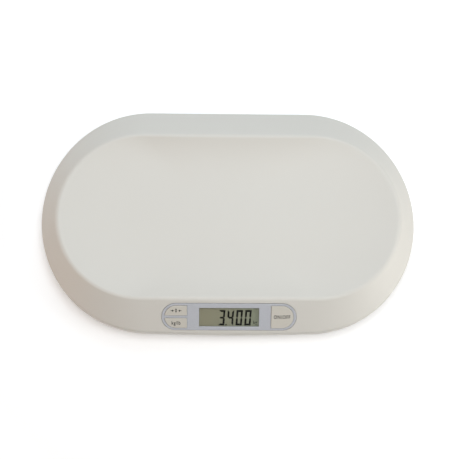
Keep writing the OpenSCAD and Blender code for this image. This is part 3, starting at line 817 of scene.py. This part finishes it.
def finish(slot):
    """The material of one of the record's slots, made the first time it is asked for."""
    c = scale_colours()
    makers = {
        "body_plastic": lambda: plastic("moulded_tray", tuple(c.tray)),
        "base_plastic": lambda: plastic("moulded_base", tuple(c.base), low=0.5, grain=1100.0, bump=0.35),
        "key_plastic": lambda: plastic("moulded_keys", tuple(c.keys), low=0.36, grain=1800.0, bump=0.18),
        "white_plastic": lambda: plastic("white_moulding", (0.90, 0.90, 0.88), low=0.35, bump=0.1),
        "black_plastic": lambda: plastic(
            "black_moulding", (0.115, 0.115, 0.12), low=0.4, bump=0.15, variation=0.08
        ),
        "silver_plate": lambda: metal(
            "silver_paint",
            tuple(c.silver),
            metallic=0.45,
            low=0.36,
            span=0.14,
            flecks=2000.0,
            variation=0.08,
        ),
        "window": clear_finish,
        "lcd": display_finish,
        "lcd_ink": lambda: plastic(
            "display_ink", tuple(c.ink), low=0.5, span=0.1, bump=0, variation=0.1, specular=0.02
        ),
        "board": lambda: plastic(
            "solder_mask", (0.11, 0.36, 0.20), low=0.25, span=0.2, grain=500.0, variation=0.1
        ),
        "steel": lambda: metal("zinc_steel", (0.74, 0.75, 0.76)),
        "spring_steel": lambda: metal(
            "nickel_steel", (0.70, 0.70, 0.71), low=0.22, stretch=0.05, flecks=900.0
        ),
        "rubber_foot": lambda: plastic(
            "foot_rubber",
            (0.17, 0.17, 0.175),
            low=0.65,
            span=0.2,
            grain=900.0,
            bump=0.5,
            variation=0.12,
            specular=0.3,
        ),
        "battery_can": lambda: metal(
            "battery_sleeve", (0.16, 0.24, 0.42), metallic=0.4, low=0.25, flecks=600.0
        ),
        "lead_jacket": lambda: plastic("lead_sleeve", (0.28, 0.28, 0.30), low=0.45, variation=0.06),
        "sealant": lambda: plastic("white_sealant", (0.90, 0.90, 0.87), low=0.3, grain=300.0, bump=0.4),
    }
    if slot not in FINISHES:
        FINISHES[slot] = makers[slot]()
    return FINISHES[slot]


def dress(piece, body, slot, nodes=()):
    """Gives a new piece its finish, its body and the construction nodes that it stands for."""
    piece.data.materials.clear()
    piece.data.materials.append(finish(slot))
    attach(piece, body)
    if nodes:
        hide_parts(*nodes)
    return piece


# ---------------------------------------------------------------- operators


class SCALE_OT_materials(bpy.types.Operator):
    """Give every construction node the finish of its slot in the record"""

    bl_idname = "scale.materials"
    bl_label = "Finish the construction nodes"

    def execute(self, context):
        for entry in frame["record"]["subparts"]:
            node = frame["nodes"][entry["node"]]
            node.data.materials.clear()
            node.data.materials.append(finish(entry["material_slot"]))
        return {"FINISHED"}


class SCALE_OT_tray(bpy.types.Operator):
    """Build the tray: the dish, its rim and the recess for the display panel"""

    bl_idname = "scale.tray"
    bl_label = "Tray"

    def execute(self, context):
        s, p = tray_sizes(), panel_sizes()
        outer = tray_outer_face(tray_columns(end_steps=150, front_steps=60))
        inner = one_wall_under(outer, s.wall)
        inner[:, -3:, 2] = np.maximum(inner[:, -3:, 2], s.seam_height)
        middle = (0, s.front_bow / 2, s.crest_height - s.dish_drop)
        under = (0, s.front_bow / 2, s.crest_height - s.dish_drop - s.wall)
        paths = np.concatenate([outer, inner[:, :-2][:, ::-1]], 1)
        shell = lofted("tray", paths, middle, under)
        place = panel_place()
        over, edge = 0.1 * MM, 0.2 * MM
        outline = panel_outline(p.backing_margin)
        block = moulded_block(outline, p.plate_low - p.backing, p.plate_low + over, edge)
        backing = joined("backing", [block])
        backing.data.transform(place)
        shell = combined(shell, [backing], "UNION")
        flare, small_flare = 0.5 * MM, 0.01 * MM
        deep, through = -9 * MM, -1 * MM
        recess = flared_cutter("recess", panel_outline(p.groove), p.plate_low, 0.0, flare, place)
        opening = flared_cutter("opening", panel_outline(-p.ledge), deep, through, small_flare, place)
        shell = combined(shell, [recess, opening], "DIFFERENCE")
        steady_normals(dress(shell, "root", "body_plastic", ["tray_shell"]))
        return {"FINISHED"}


class SCALE_OT_base(bpy.types.Operator):
    """Build the lower casing with its foot holes, screw wells and battery opening"""

    bl_idname = "scale.base"
    bl_label = "Base"

    def execute(self, context):
        s = tray_sizes()
        columns = tray_columns(end_steps=120, front_steps=40)
        rim = tray_plan(columns)[0]
        along = np.roll(rim, -1, 0) - np.roll(rim, 1, 0)
        inward = unit_rows(np.stack([-along[:, 1], along[:, 0]], -1))
        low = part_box("base_cover")[0].z
        floor = low + s.wall
        seam = s.seam_height
        # The section's points are (distance in from the tray's outer edge, height). They run up the inner
        # face over a fillet to the top of the tongue, down to the seam's ledge, and round the outer skin.
        tongue_in, tongue_out, tongue_top = 4.9 * MM, 2.9 * MM, seam + 3 * MM
        ledge = seam - 0.2 * MM
        inner_face = [[9.5 * MM, floor], [6.6 * MM, floor + 1 * MM], [tongue_in, floor + 3 * MM]]
        tongue = [[tongue_in, tongue_top], [tongue_out, tongue_top], [tongue_out, ledge]]
        seam_edge = [[0.9 * MM, ledge], [0.45 * MM, seam - 0.4 * MM], [0.3 * MM, seam - 0.9 * MM]]
        flat_start, skin_reach, skin_rise = 8.5 * MM, 7.7 * MM, 5 * MM
        sweep = np.radians(np.linspace(8, 90, 14))
        skin_in = flat_start - skin_reach * np.cos(sweep)
        skin_height = low + skin_rise - skin_rise * np.sin(sweep)
        skin = np.stack([skin_in, skin_height], -1)
        section = np.concatenate([inner_face, tongue, seam_edge, skin])
        paths = np.empty((len(columns), len(section), 3))
        paths[..., :2] = rim[:, None] + inward[:, None] * section[None, :, :1]
        paths[..., 2] = section[None, :, 1]
        centre = s.front_bow / 2
        shell = lofted("base", paths, (0, centre, floor), (0, centre, low))
        shell = combined(shell, base_cutters(low, floor), "DIFFERENCE")
        steady_normals(dress(shell, "root", "base_plastic", ["base_cover"]))
        return {"FINISHED"}


# How far the cutters of the underside start below it, and end above the floor's inner face.
CUTTER_BELOW = 2 * MM
CUTTER_ABOVE = 1 * MM


def upright(name, x, y, radius, start, end):
    """A round cutter that stands upright, with a flared lower mouth to round the hole's edge."""
    flare = 0.4 * MM
    mouth = start + CUTTER_BELOW
    t = np.radians(np.linspace(0, 90, 5))
    profile = [(0, start), (radius + flare, start)]
    profile += [(radius + flare * (1 - math.sin(a)), mouth + flare * (1 - math.cos(a))) for a in t]
    profile += [(radius, end), (0, end)]
    return revolved(name, profile, axis=Matrix.Translation((x, y, 0)))


def box_cutter(name, near, far, start, end):
    """An upright cutter on the rectangle between two corners, with small round corners."""
    (x0, y0), (x1, y1) = near, far
    corner, edge = 0.6 * MM, 1e-5
    outline = rounded_corners([(x0, y0), (x1, y0), (x1, y1), (x0, y1)], corner)
    return joined(name, [moulded_block(outline, start, end, edge, 1)])


def base_cutters(low, floor):
    """Cutters for the holes and recesses of the underside, each placed by the node that it is for."""
    start, end = low - CUTTER_BELOW, floor + CUTTER_ABOVE
    cup_gap, well_radius, screws_apart = 0.8 * MM, 3.6 * MM, 10 * MM
    cutters = []
    for corner in CORNERS:
        a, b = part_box(corner + "_foot_cup")
        x, y, radius = (a.x + b.x) / 2, (a.y + b.y) / 2, (b.x - a.x) / 2 + cup_gap
        cutters.append(upright(corner + "_hole", x, y, radius, start, end))
    remaining = vertex_places(frame["nodes"]["case_screws"].data)
    while len(remaining):
        near = np.linalg.norm(remaining[:, :2] - remaining[0, :2], axis=1) < screws_apart
        x, y, _ = (remaining[near].min(0) + remaining[near].max(0)) / 2
        cutters.append(upright(f"well_{len(cutters)}", x, y, well_radius, start, end))
        remaining = remaining[~near]
    pins, gap = 2.2 * MM, 0.3 * MM
    a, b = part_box("battery_door")
    corners = (a.x + pins - gap, a.y - gap), (b.x - pins + gap, b.y + gap)
    cutters.append(box_cutter("door_hole", *corners, start, end))
    finger_gap, hook_lap = 1.5 * MM, 0.5 * MM
    a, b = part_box("battery_door_latch")
    corners = (a.x - finger_gap, a.y - gap), (b.x + finger_gap, b.y - hook_lap)
    cutters.append(box_cutter("latch_hole", *corners, start, end))
    return cutters


class SCALE_OT_panel(bpy.types.Operator):
    """Build the silver display panel with its window and key openings"""

    bl_idname = "scale.panel"
    bl_label = "Display panel"

    def execute(self, context):
        p = panel_sizes()
        x, y = p.window_length / 2, p.window_height / 2
        corner, edge = 0.5 * MM, 0.3 * MM
        window = rounded_corners([(-x, -y), (x, -y), (x, y), (-x, y)], corner) + (0, p.window_row)
        outlines = [panel_outline(), window]
        outlines += [key_outline(key, p.key_clearance) for key in KEYS]
        plate = flat_plate("panel_plate", outlines, p.plate_low, p.plate_top, edge, panel_place())
        steady_normals(dress(plate, "root", "silver_plate", ["bezel_plate"]))
        return {"FINISHED"}


def key_outline(key, grow=0.0):
    """Outline of a key, anticlockwise: what a smaller stadium has beyond the key's inner edges."""
    p = panel_sizes()
    radius = p.panel_height / 2 - p.key_border + grow
    hub = p.panel_length / 2 - p.key_end_border + grow - radius
    inner_x = p.key_inner - grow
    low_y = p.key_gap - grow
    corner = p.key_corner + grow
    if key == "power":
        round_end = arc((hub, 0), radius, -90, 90, 64)
        points = np.concatenate([[(inner_x, -radius)], round_end, [(inner_x, radius)]])
        return rounded_corners(points, corner)
    start = math.asin(low_y / radius)
    past_corner = math.degrees(start + 1.5 * corner / radius)
    tip = (hub + radius * math.cos(start), low_y)
    round_end = arc((hub, 0), radius, past_corner, 90, 40)
    points = np.concatenate([[(inner_x, low_y), tip], round_end, [(inner_x, radius)]])
    points = (points * [-1, 1])[::-1]
    if key == "unit":
        points = (points * [1, -1])[::-1]
    return rounded_corners(points, corner)


class SCALE_OT_keys(bpy.types.Operator):
    """Build the three keys with rounded edges and their printed marks"""

    bl_idname = "scale.keys"
    bl_label = "Keys"

    def execute(self, context):
        p = panel_sizes()
        place = panel_place()
        top = p.plate_top + p.key_proud
        flange_top = p.plate_low - p.flange_gap
        cap_edge, flange_edge = 0.55 * MM, 0.1 * MM
        for key in KEYS:
            cap = moulded_block(key_outline(key), p.plate_low - p.key_skirt, top, cap_edge, 5)
            outline = key_outline(key, p.key_flange)
            flange = moulded_block(outline, flange_top - p.flange_thick, flange_top, flange_edge, 1)
            piece = joined(key + "_key", [cap, flange])
            piece.data.transform(place)
            steady_normals(dress(piece, key + "_key", "key_plastic", [key + "_button"]))
        marks(place, top)
        return {"FINISHED"}


def arrow(tip, way):
    """Outline of a small arrow whose tip points along +X or -X."""
    span, head, half, line = 4.6 * MM, 2.2 * MM, 1.7 * MM, 0.4 * MM
    upper = [(0, 0), (-head, half), (-head, line), (-span, line)]
    lower = [(-span, -line), (-head, -line), (-head, -half)]
    return np.array(upper + lower) * [way, 1] + tip


def marks(place, top):
    """Printed marks: arrows closing on a nought, two units of mass, and the words of a power key."""
    p = panel_sizes()
    words = [
        ("power_mark", "ON/OFF", (p.key_place, 0, top), "power_key"),
        ("unit_mark", "kg/lb", (-p.key_place, -p.key_row, top), "unit_key"),
        ("tare_nought", "0", (-p.key_place, p.key_row, top), "tare_key"),
    ]
    for name, text, at, body in words:
        dress(lettering(name, text, p.mark_height, at, place), body, "lcd_ink")
    reach = 3.2 * MM
    outlines = [arrow((side * reach - p.key_place, p.key_row), -side) for side in (-1, 1)]
    arrows = flat_plate("tare_arrows", outlines, top, top + 0.05 * MM, 0.0, place)
    dress(arrows, "tare_key", "lcd_ink")


SEGMENT_SETS = {"3": "abcdg", "4": "bcfg", "0": "abcdef"}
# The drawn segment that each segment is a copy of, and its flips along the panel and up it.
SEGMENT_FLIPS = {
    "a": ("top", 1, 1),
    "b": ("side", 1, 1),
    "c": ("side", 1, -1),
    "d": ("top", 1, -1),
    "e": ("side", -1, -1),
    "f": ("side", -1, 1),
    "g": ("middle", 1, 1),
}


def segment(name, width, height, stroke):
    """Outline of one segment of a digit, with mitred ends and a gap round it, anticlockwise."""
    gap = 0.08 * MM
    half = stroke / 2
    w, h = width / 2 - half, height / 2 - half
    middle = [(-w, 0), (-w + half, -half), (w - half, -half)]
    middle += [(w, 0), (w - half, half), (-w + half, half)]
    drawn = {
        "top": [(-w - half, h + half), (-w + half, h - half), (w - half, h - half), (w + half, h + half)],
        "side": [(w, 0), (w + half, half), (w + half, h + half), (w - half, h - half), (w - half, half)],
        "middle": middle,
    }
    shape, across, up = SEGMENT_FLIPS[name]
    outline = np.array(drawn[shape]) * (across, up)
    return grown(outline[:: across * up], -gap)


class SCALE_OT_display(bpy.types.Operator):
    """Build the display's digits with mitred segments"""

    bl_idname = "scale.display"
    bl_label = "Display digits"

    def execute(self, context):
        p = panel_sizes()
        place = panel_place()
        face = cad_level("lcd_glass")
        ink, bevel = 0.1 * MM, 0.01 * MM
        lean = np.array([[1, 0], [p.digit_slant, 1]])
        parts = []
        for index, figure in enumerate("3400"):
            for name in SEGMENT_SETS[figure]:
                at = (p.first_digit + index * p.digit_pitch, p.digit_row)
                outline = segment(name, p.digit_width, p.digit_height, p.stroke) @ lean + at
                parts.append(moulded_block(outline, face, face + ink, bevel, 1))
        dot = rounded_corners(np.array([(-1, -1), (1, -1), (1, 1), (-1, 1)]) * MM, 0.3 * MM)
        dot = dot + (p.first_digit + p.digit_pitch / 2, p.digit_row - p.digit_height / 2 + 1 * MM)
        parts.append(moulded_block(dot, face, face + ink, bevel, 1))
        digits = joined("display_digits", parts)
        digits.data.transform(place)
        dress(digits, "root", "lcd_ink", ["lcd_digits"])
        unit = lettering("display_unit", "kg", p.unit_height, (p.unit_place, p.unit_row, face), place, ink)
        dress(unit, "root", "lcd_ink")
        return {"FINISHED"}


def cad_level(node):
    """Height of a node's face above the slope, measured along the panel's normal."""
    points = vertex_places(frame["nodes"][node].data)
    inverse = np.array(panel_place().inverted())
    return float((points @ inverse[2, :3] + inverse[2, 3]).max())


# How far a battery's nub stands out of its can.
NUB_HEIGHT = 1.2 * MM


def battery_profile(radius, span):
    """(radius, height) of a battery, from its dimpled flat end over the crimped can to its nub."""
    can = span - NUB_HEIGHT
    dimple, foot_round, shoulder = 0.25 * MM, 0.5 * MM, 0.7 * MM
    seal_out, seal_in, seal_depth = 3.1 * MM, 2.9 * MM, 0.3 * MM
    nub, nub_top, nub_round = 1.9 * MM, 1.6 * MM, 0.3 * MM
    flat_end = [(0, dimple), (radius * 0.62, dimple), (radius * 0.7, 0), (radius - foot_round, 0)]
    side = [(radius, foot_round), (radius, can - shoulder), (radius - shoulder, can)]
    seal = [(seal_out, can), (seal_in, can - seal_depth), (nub, can - seal_depth)]
    return [*flat_end, *side, *seal, (nub, span - nub_round), (nub_top, span), (0, span)]


class SCALE_OT_batteries(bpy.types.Operator):
    """Build the batteries with crimped ends and nubs, and the coils that press on them"""

    bl_idname = "scale.batteries"
    bl_label = "Batteries"

    def execute(self, context):
        coils = []
        for number in range(1, 5):
            low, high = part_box(f"battery_{number}")
            radius = (high.y - low.y) / 2
            span = high.x - low.x
            way = -1 if number % 2 else 1
            x = low.x if way > 0 else high.x
            y, z = (low.y + high.y) / 2, (low.z + high.z) / 2
            axis = Matrix.Translation((x, y, z)) @ Matrix.Rotation(math.radians(90 * way), 4, "Y")
            piece = revolved(f"battery_cell_{number}", battery_profile(radius, span), 48, axis=axis)
            dress(piece, "root", "battery_can", [f"battery_{number}"])
            piece.data.materials.append(finish("steel"))
            middles = np.empty(len(piece.data.polygons) * 3)
            piece.data.polygons.foreach_get("center", middles)
            depth = np.abs(middles.reshape(-1, 3)[:, 0] - x)
            sleeve_start, sleeve_end = 0.45 * MM, span - NUB_HEIGHT - 0.2 * MM
            bare = (depth < sleeve_start) | (depth > sleeve_end)
            piece.data.polygons.foreach_set("material_index", bare.astype(int))
            coils.append(battery_coil(x, y, z, way))
        springs = joined("battery_coils", coils)
        dress(springs, "root", "spring_steel", ["battery_springs"])
        return {"FINISHED"}


def battery_coil(x, y, z, way):
    """A conical coil from the plate to the battery: radius falls from 4 to 2.4 mm over five turns."""
    span, wire = 6.7 * MM, 0.3 * MM
    wide, narrowing = 4.0, 1.6
    turns, steps = 5, 24
    t = np.linspace(0, 1, turns * steps + 1)
    radius = (wide - narrowing * t) * MM
    angle = 2 * np.pi * turns * t
    along = x - way * (span - wire) + way * (span - 2 * wire) * t
    path = np.stack([along, y + radius * np.cos(angle), z + radius * np.sin(angle)], -1)
    return swept_tube(path, wire, 6)


# Inner radius in millimetres of each ring groove in a foot's tread.
TREAD_GROOVES = (5, 8.5, 12)


def pad_profile(radius, tall):
    """(radius, height) of a rubber pad, from the middle of its tread to the middle of its upper face."""
    near, far, width, depth = 0.15 * MM, 0.85 * MM, 1 * MM, 0.5 * MM
    profile = [(0, 0)]
    for groove in TREAD_GROOVES:
        g = groove * MM
        profile += [(g, 0), (g + near, depth), (g + far, depth), (g + width, 0)]
    edge, chamfer = 0.7 * MM, 0.2 * MM
    profile += [(radius - edge, 0), (radius - chamfer, chamfer), (radius, edge)]
    return profile + [(radius, tall), (0, tall)]


class SCALE_OT_feet(bpy.types.Operator):
    """Build the rubber pads of the feet with a ring of treads"""

    bl_idname = "scale.feet"
    bl_label = "Feet"

    def execute(self, context):
        for corner in CORNERS:
            low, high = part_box(corner + "_foot_pad")
            axis = Matrix.Translation(((low.x + high.x) / 2, (low.y + high.y) / 2, low.z))
            profile = pad_profile((high.x - low.x) / 2, high.z - low.z)
            piece = revolved(corner + "_pad", profile, 72, axis=axis)
            dress(piece, corner + "_foot", "rubber_foot", [corner + "_foot_pad"])
        return {"FINISHED"}


class SCALE_OT_stage(bpy.types.Operator):
    """Set the floor, the lights and the camera"""

    bl_idname = "scale.stage"
    bl_label = "Stage"

    def execute(self, context):
        add_floor()
        add_lights()
        add_camera()
        return {"FINISHED"}


def seen_ray(tree):
    """1 for the rays that the camera, a reflection or a clear piece sends out, and 0 for the rest."""
    path = tree.nodes.new("ShaderNodeLightPath")
    seen = math_node(tree, "MAXIMUM", path.outputs["Is Camera Ray"], path.outputs["Is Glossy Ray"])
    return math_node(tree, "MAXIMUM", seen, path.outputs["Is Transmission Ray"])


FLOOR_HALF = 4.0
# The floor lies this far under the feet, so that the two never share a plane.
FLOOR_DROP = 0.0002
# Distances from the middle over which the floor's glow rises, and its strengths there.
GLOW_RAMP = {"From Min": 0.42, "From Max": 0.95, "To Min": 0.30, "To Max": 1.0}


def add_floor():
    """A pale floor that looks white to the camera and in reflections, and keeps the shadow.

    Its glow rises with the distance from the middle, so the far floor stays white where no lamp reaches.
    It is clear from below and to the lamp under it, so the underside can be seen and is lit.
    """
    corners = [(x * FLOOR_HALF, y * FLOOR_HALF, 0) for x, y in ((-1, -1), (1, -1), (1, 1), (-1, 1))]
    floor = add_mesh("floor", corners, [[0, 1, 2, 3]])
    floor.location.z = -FLOOR_DROP
    material, tree, shader = blank_material("pale_floor")
    shader.inputs["Base Color"].default_value = (0.86, 0.86, 0.86, 1)
    shader.inputs["Roughness"].default_value = 0.9
    shader.inputs["Specular IOR Level"].default_value = 0.1
    away = tree.nodes.new("ShaderNodeVectorMath")
    away.operation = "LENGTH"
    tree.links.new(object_place(tree), away.inputs[0])
    rise = tree.nodes.new("ShaderNodeMapRange")
    tree.links.new(away.outputs["Value"], rise.inputs["Value"])
    for label, value in GLOW_RAMP.items():
        rise.inputs[label].default_value = value
    glow = math_node(tree, "MULTIPLY", seen_ray(tree), rise.outputs["Result"])
    shader.inputs["Emission Color"].default_value = (1, 1, 1, 1)
    tree.links.new(glow, shader.inputs["Emission Strength"])
    clear = tree.nodes.new("ShaderNodeBsdfTransparent")
    either = tree.nodes.new("ShaderNodeMixShader")
    behind = tree.nodes.new("ShaderNodeNewGeometry").outputs["Backfacing"]
    shadow = tree.nodes.new("ShaderNodeLightPath").outputs["Is Shadow Ray"]
    tree.links.new(math_node(tree, "MAXIMUM", behind, shadow), either.inputs["Fac"])
    tree.links.new(shader.outputs[0], either.inputs[1])
    tree.links.new(clear.outputs[0], either.inputs[2])
    tree.links.new(either.outputs[0], tree.nodes["Material Output"].inputs["Surface"])
    floor.data.materials.append(material)


# Azimuth and elevation in degrees, distance and size in metres, power in watts, and tint of each lamp.
LAMPS = {
    "top_light": (0, 89, 1.6, 1.2, 13.0, (0.95, 0.985, 1.0)),
    "back_light": (90, 45, 1.6, 1.2, 8.3, (0.76, 0.89, 1.0)),
    "right_light": (340, 20, 1.0, 0.6, 3.5, (1.0, 0.98, 0.945)),
    "left_light": (200, 20, 1.0, 0.6, 1.0, (1.0, 0.5, 0.2)),
    "under_light": (250, -60, 1.6, 1.2, 5.0, (1.0, 1.0, 1.0)),
}


# Strength of the sky that lights the scale. What is seen of the sky is white.
SKY = 0.2


def add_lights():
    """Soft studio light: an even sky, broad lamps above and behind, and low ones at the right and left."""
    world = bpy.data.worlds.new("studio")
    bpy.context.scene.world = world
    world.use_nodes = True
    tree = world.node_tree
    background = tree.nodes["Background"]
    strength = math_node(tree, "MULTIPLY_ADD", seen_ray(tree), 1 - SKY, SKY)
    background.inputs["Color"].default_value = (1, 1, 1, 1)
    tree.links.new(strength, background.inputs["Strength"])
    middle = Vector((0, 0, AIM_HEIGHT))
    for name, (azimuth, elevation, distance, size, power, tint) in LAMPS.items():
        lamp = bpy.data.lights.new(name, "AREA")
        lamp.shape = "DISK"
        lamp.size = size
        lamp.energy = power
        lamp.color = tint
        holder = bpy.data.objects.new(name, lamp)
        turn, rise = math.radians(azimuth), math.radians(elevation)
        level = math.cos(rise)
        way = Vector((math.cos(turn) * level, math.sin(turn) * level, math.sin(rise)))
        holder.location = middle + way * distance
        holder.rotation_euler = (-way).to_track_quat("-Z", "Y").to_euler()
        holder.visible_camera = False
        bpy.context.scene.collection.objects.link(holder)


PHOTO_SIDE = 460
CAMERA_DISTANCE = 1.5
CAMERA_ELEVATION = 72.0
CAMERA_AZIMUTH = -5.05
CAMERA_ROLL = 5.2
FOCAL_PIXELS = 1006.6
AIM_PIXEL = (228.18, 218.06)
SENSOR_WIDTH = 36.0


def add_camera():
    """A camera steeply above the front edge, framed as the photograph is."""
    azimuth, elevation = math.radians(CAMERA_AZIMUTH), math.radians(CAMERA_ELEVATION)
    level = math.cos(elevation)
    back = Vector((math.sin(azimuth) * level, -math.cos(azimuth) * level, math.sin(elevation)))
    target = Vector((0, tray_sizes().front_bow / 2, AIM_HEIGHT))
    data = bpy.data.cameras.new("camera")
    camera = bpy.data.objects.new("camera", data)
    bpy.context.scene.collection.objects.link(camera)
    camera.location = target + back * CAMERA_DISTANCE
    turn = (-back).to_track_quat("-Z", "Y")
    camera.rotation_mode = "QUATERNION"
    roll = Matrix.Rotation(math.radians(CAMERA_ROLL), 3, "Z").to_quaternion()
    camera.rotation_quaternion = turn @ roll
    data.sensor_width = SENSOR_WIDTH
    data.lens = FOCAL_PIXELS / PHOTO_SIDE * data.sensor_width
    middle = (PHOTO_SIDE - 1) / 2
    data.shift_x = (middle - AIM_PIXEL[0]) / PHOTO_SIDE
    data.shift_y = (AIM_PIXEL[1] - middle) / PHOTO_SIDE
    data.clip_start = 0.05
    bpy.context.scene.camera = camera
    bpy.context.scene.view_settings.view_transform = "Standard"


class SCALE_PT_panel(bpy.types.Panel):
    """Lists the steps that build the scale"""

    bl_idname = "SCALE_PT_panel"
    bl_label = "Baby Weighing Scale"
    bl_space_type = "VIEW_3D"
    bl_region_type = "UI"
    bl_category = "Scale"

    def draw(self, context):
        scene = context.scene
        for group in (scene.scale_tray_sizes, scene.scale_panel_sizes, scene.scale_colours):
            box = self.layout.box()
            for name in group.bl_rna.properties.keys():
                if name not in ("rna_type", "name"):
                    box.prop(group, name)
        for step in STEPS:
            self.layout.operator(step.bl_idname)


STEPS = (
    SCALE_OT_stage,
    SCALE_OT_materials,
    SCALE_OT_tray,
    SCALE_OT_base,
    SCALE_OT_panel,
    SCALE_OT_keys,
    SCALE_OT_display,
    SCALE_OT_batteries,
    SCALE_OT_feet,
)
GROUPS = {
    "scale_tray_sizes": ScaleTraySizes,
    "scale_panel_sizes": ScalePanelSizes,
    "scale_colours": ScaleColours,
}


def register():
    """Adds the groups of sizes, the steps and the sidebar's list."""
    for made in (*GROUPS.values(), *STEPS, SCALE_PT_panel):
        bpy.utils.register_class(made)
    for name, group in GROUPS.items():
        setattr(bpy.types.Scene, name, bpy.props.PointerProperty(type=group))


def unregister():
    """Takes out what register added."""
    for name in GROUPS:
        delattr(bpy.types.Scene, name)
    for made in reversed((*GROUPS.values(), *STEPS, SCALE_PT_panel)):
        bpy.utils.unregister_class(made)


def main():
    """Runs every step in order."""
    register()
    for step in STEPS:
        group, name = step.bl_idname.split(".")
        getattr(getattr(bpy.ops, group), name)()
    bpy.context.view_layer.update()


if __name__ == "__main__":
    main()
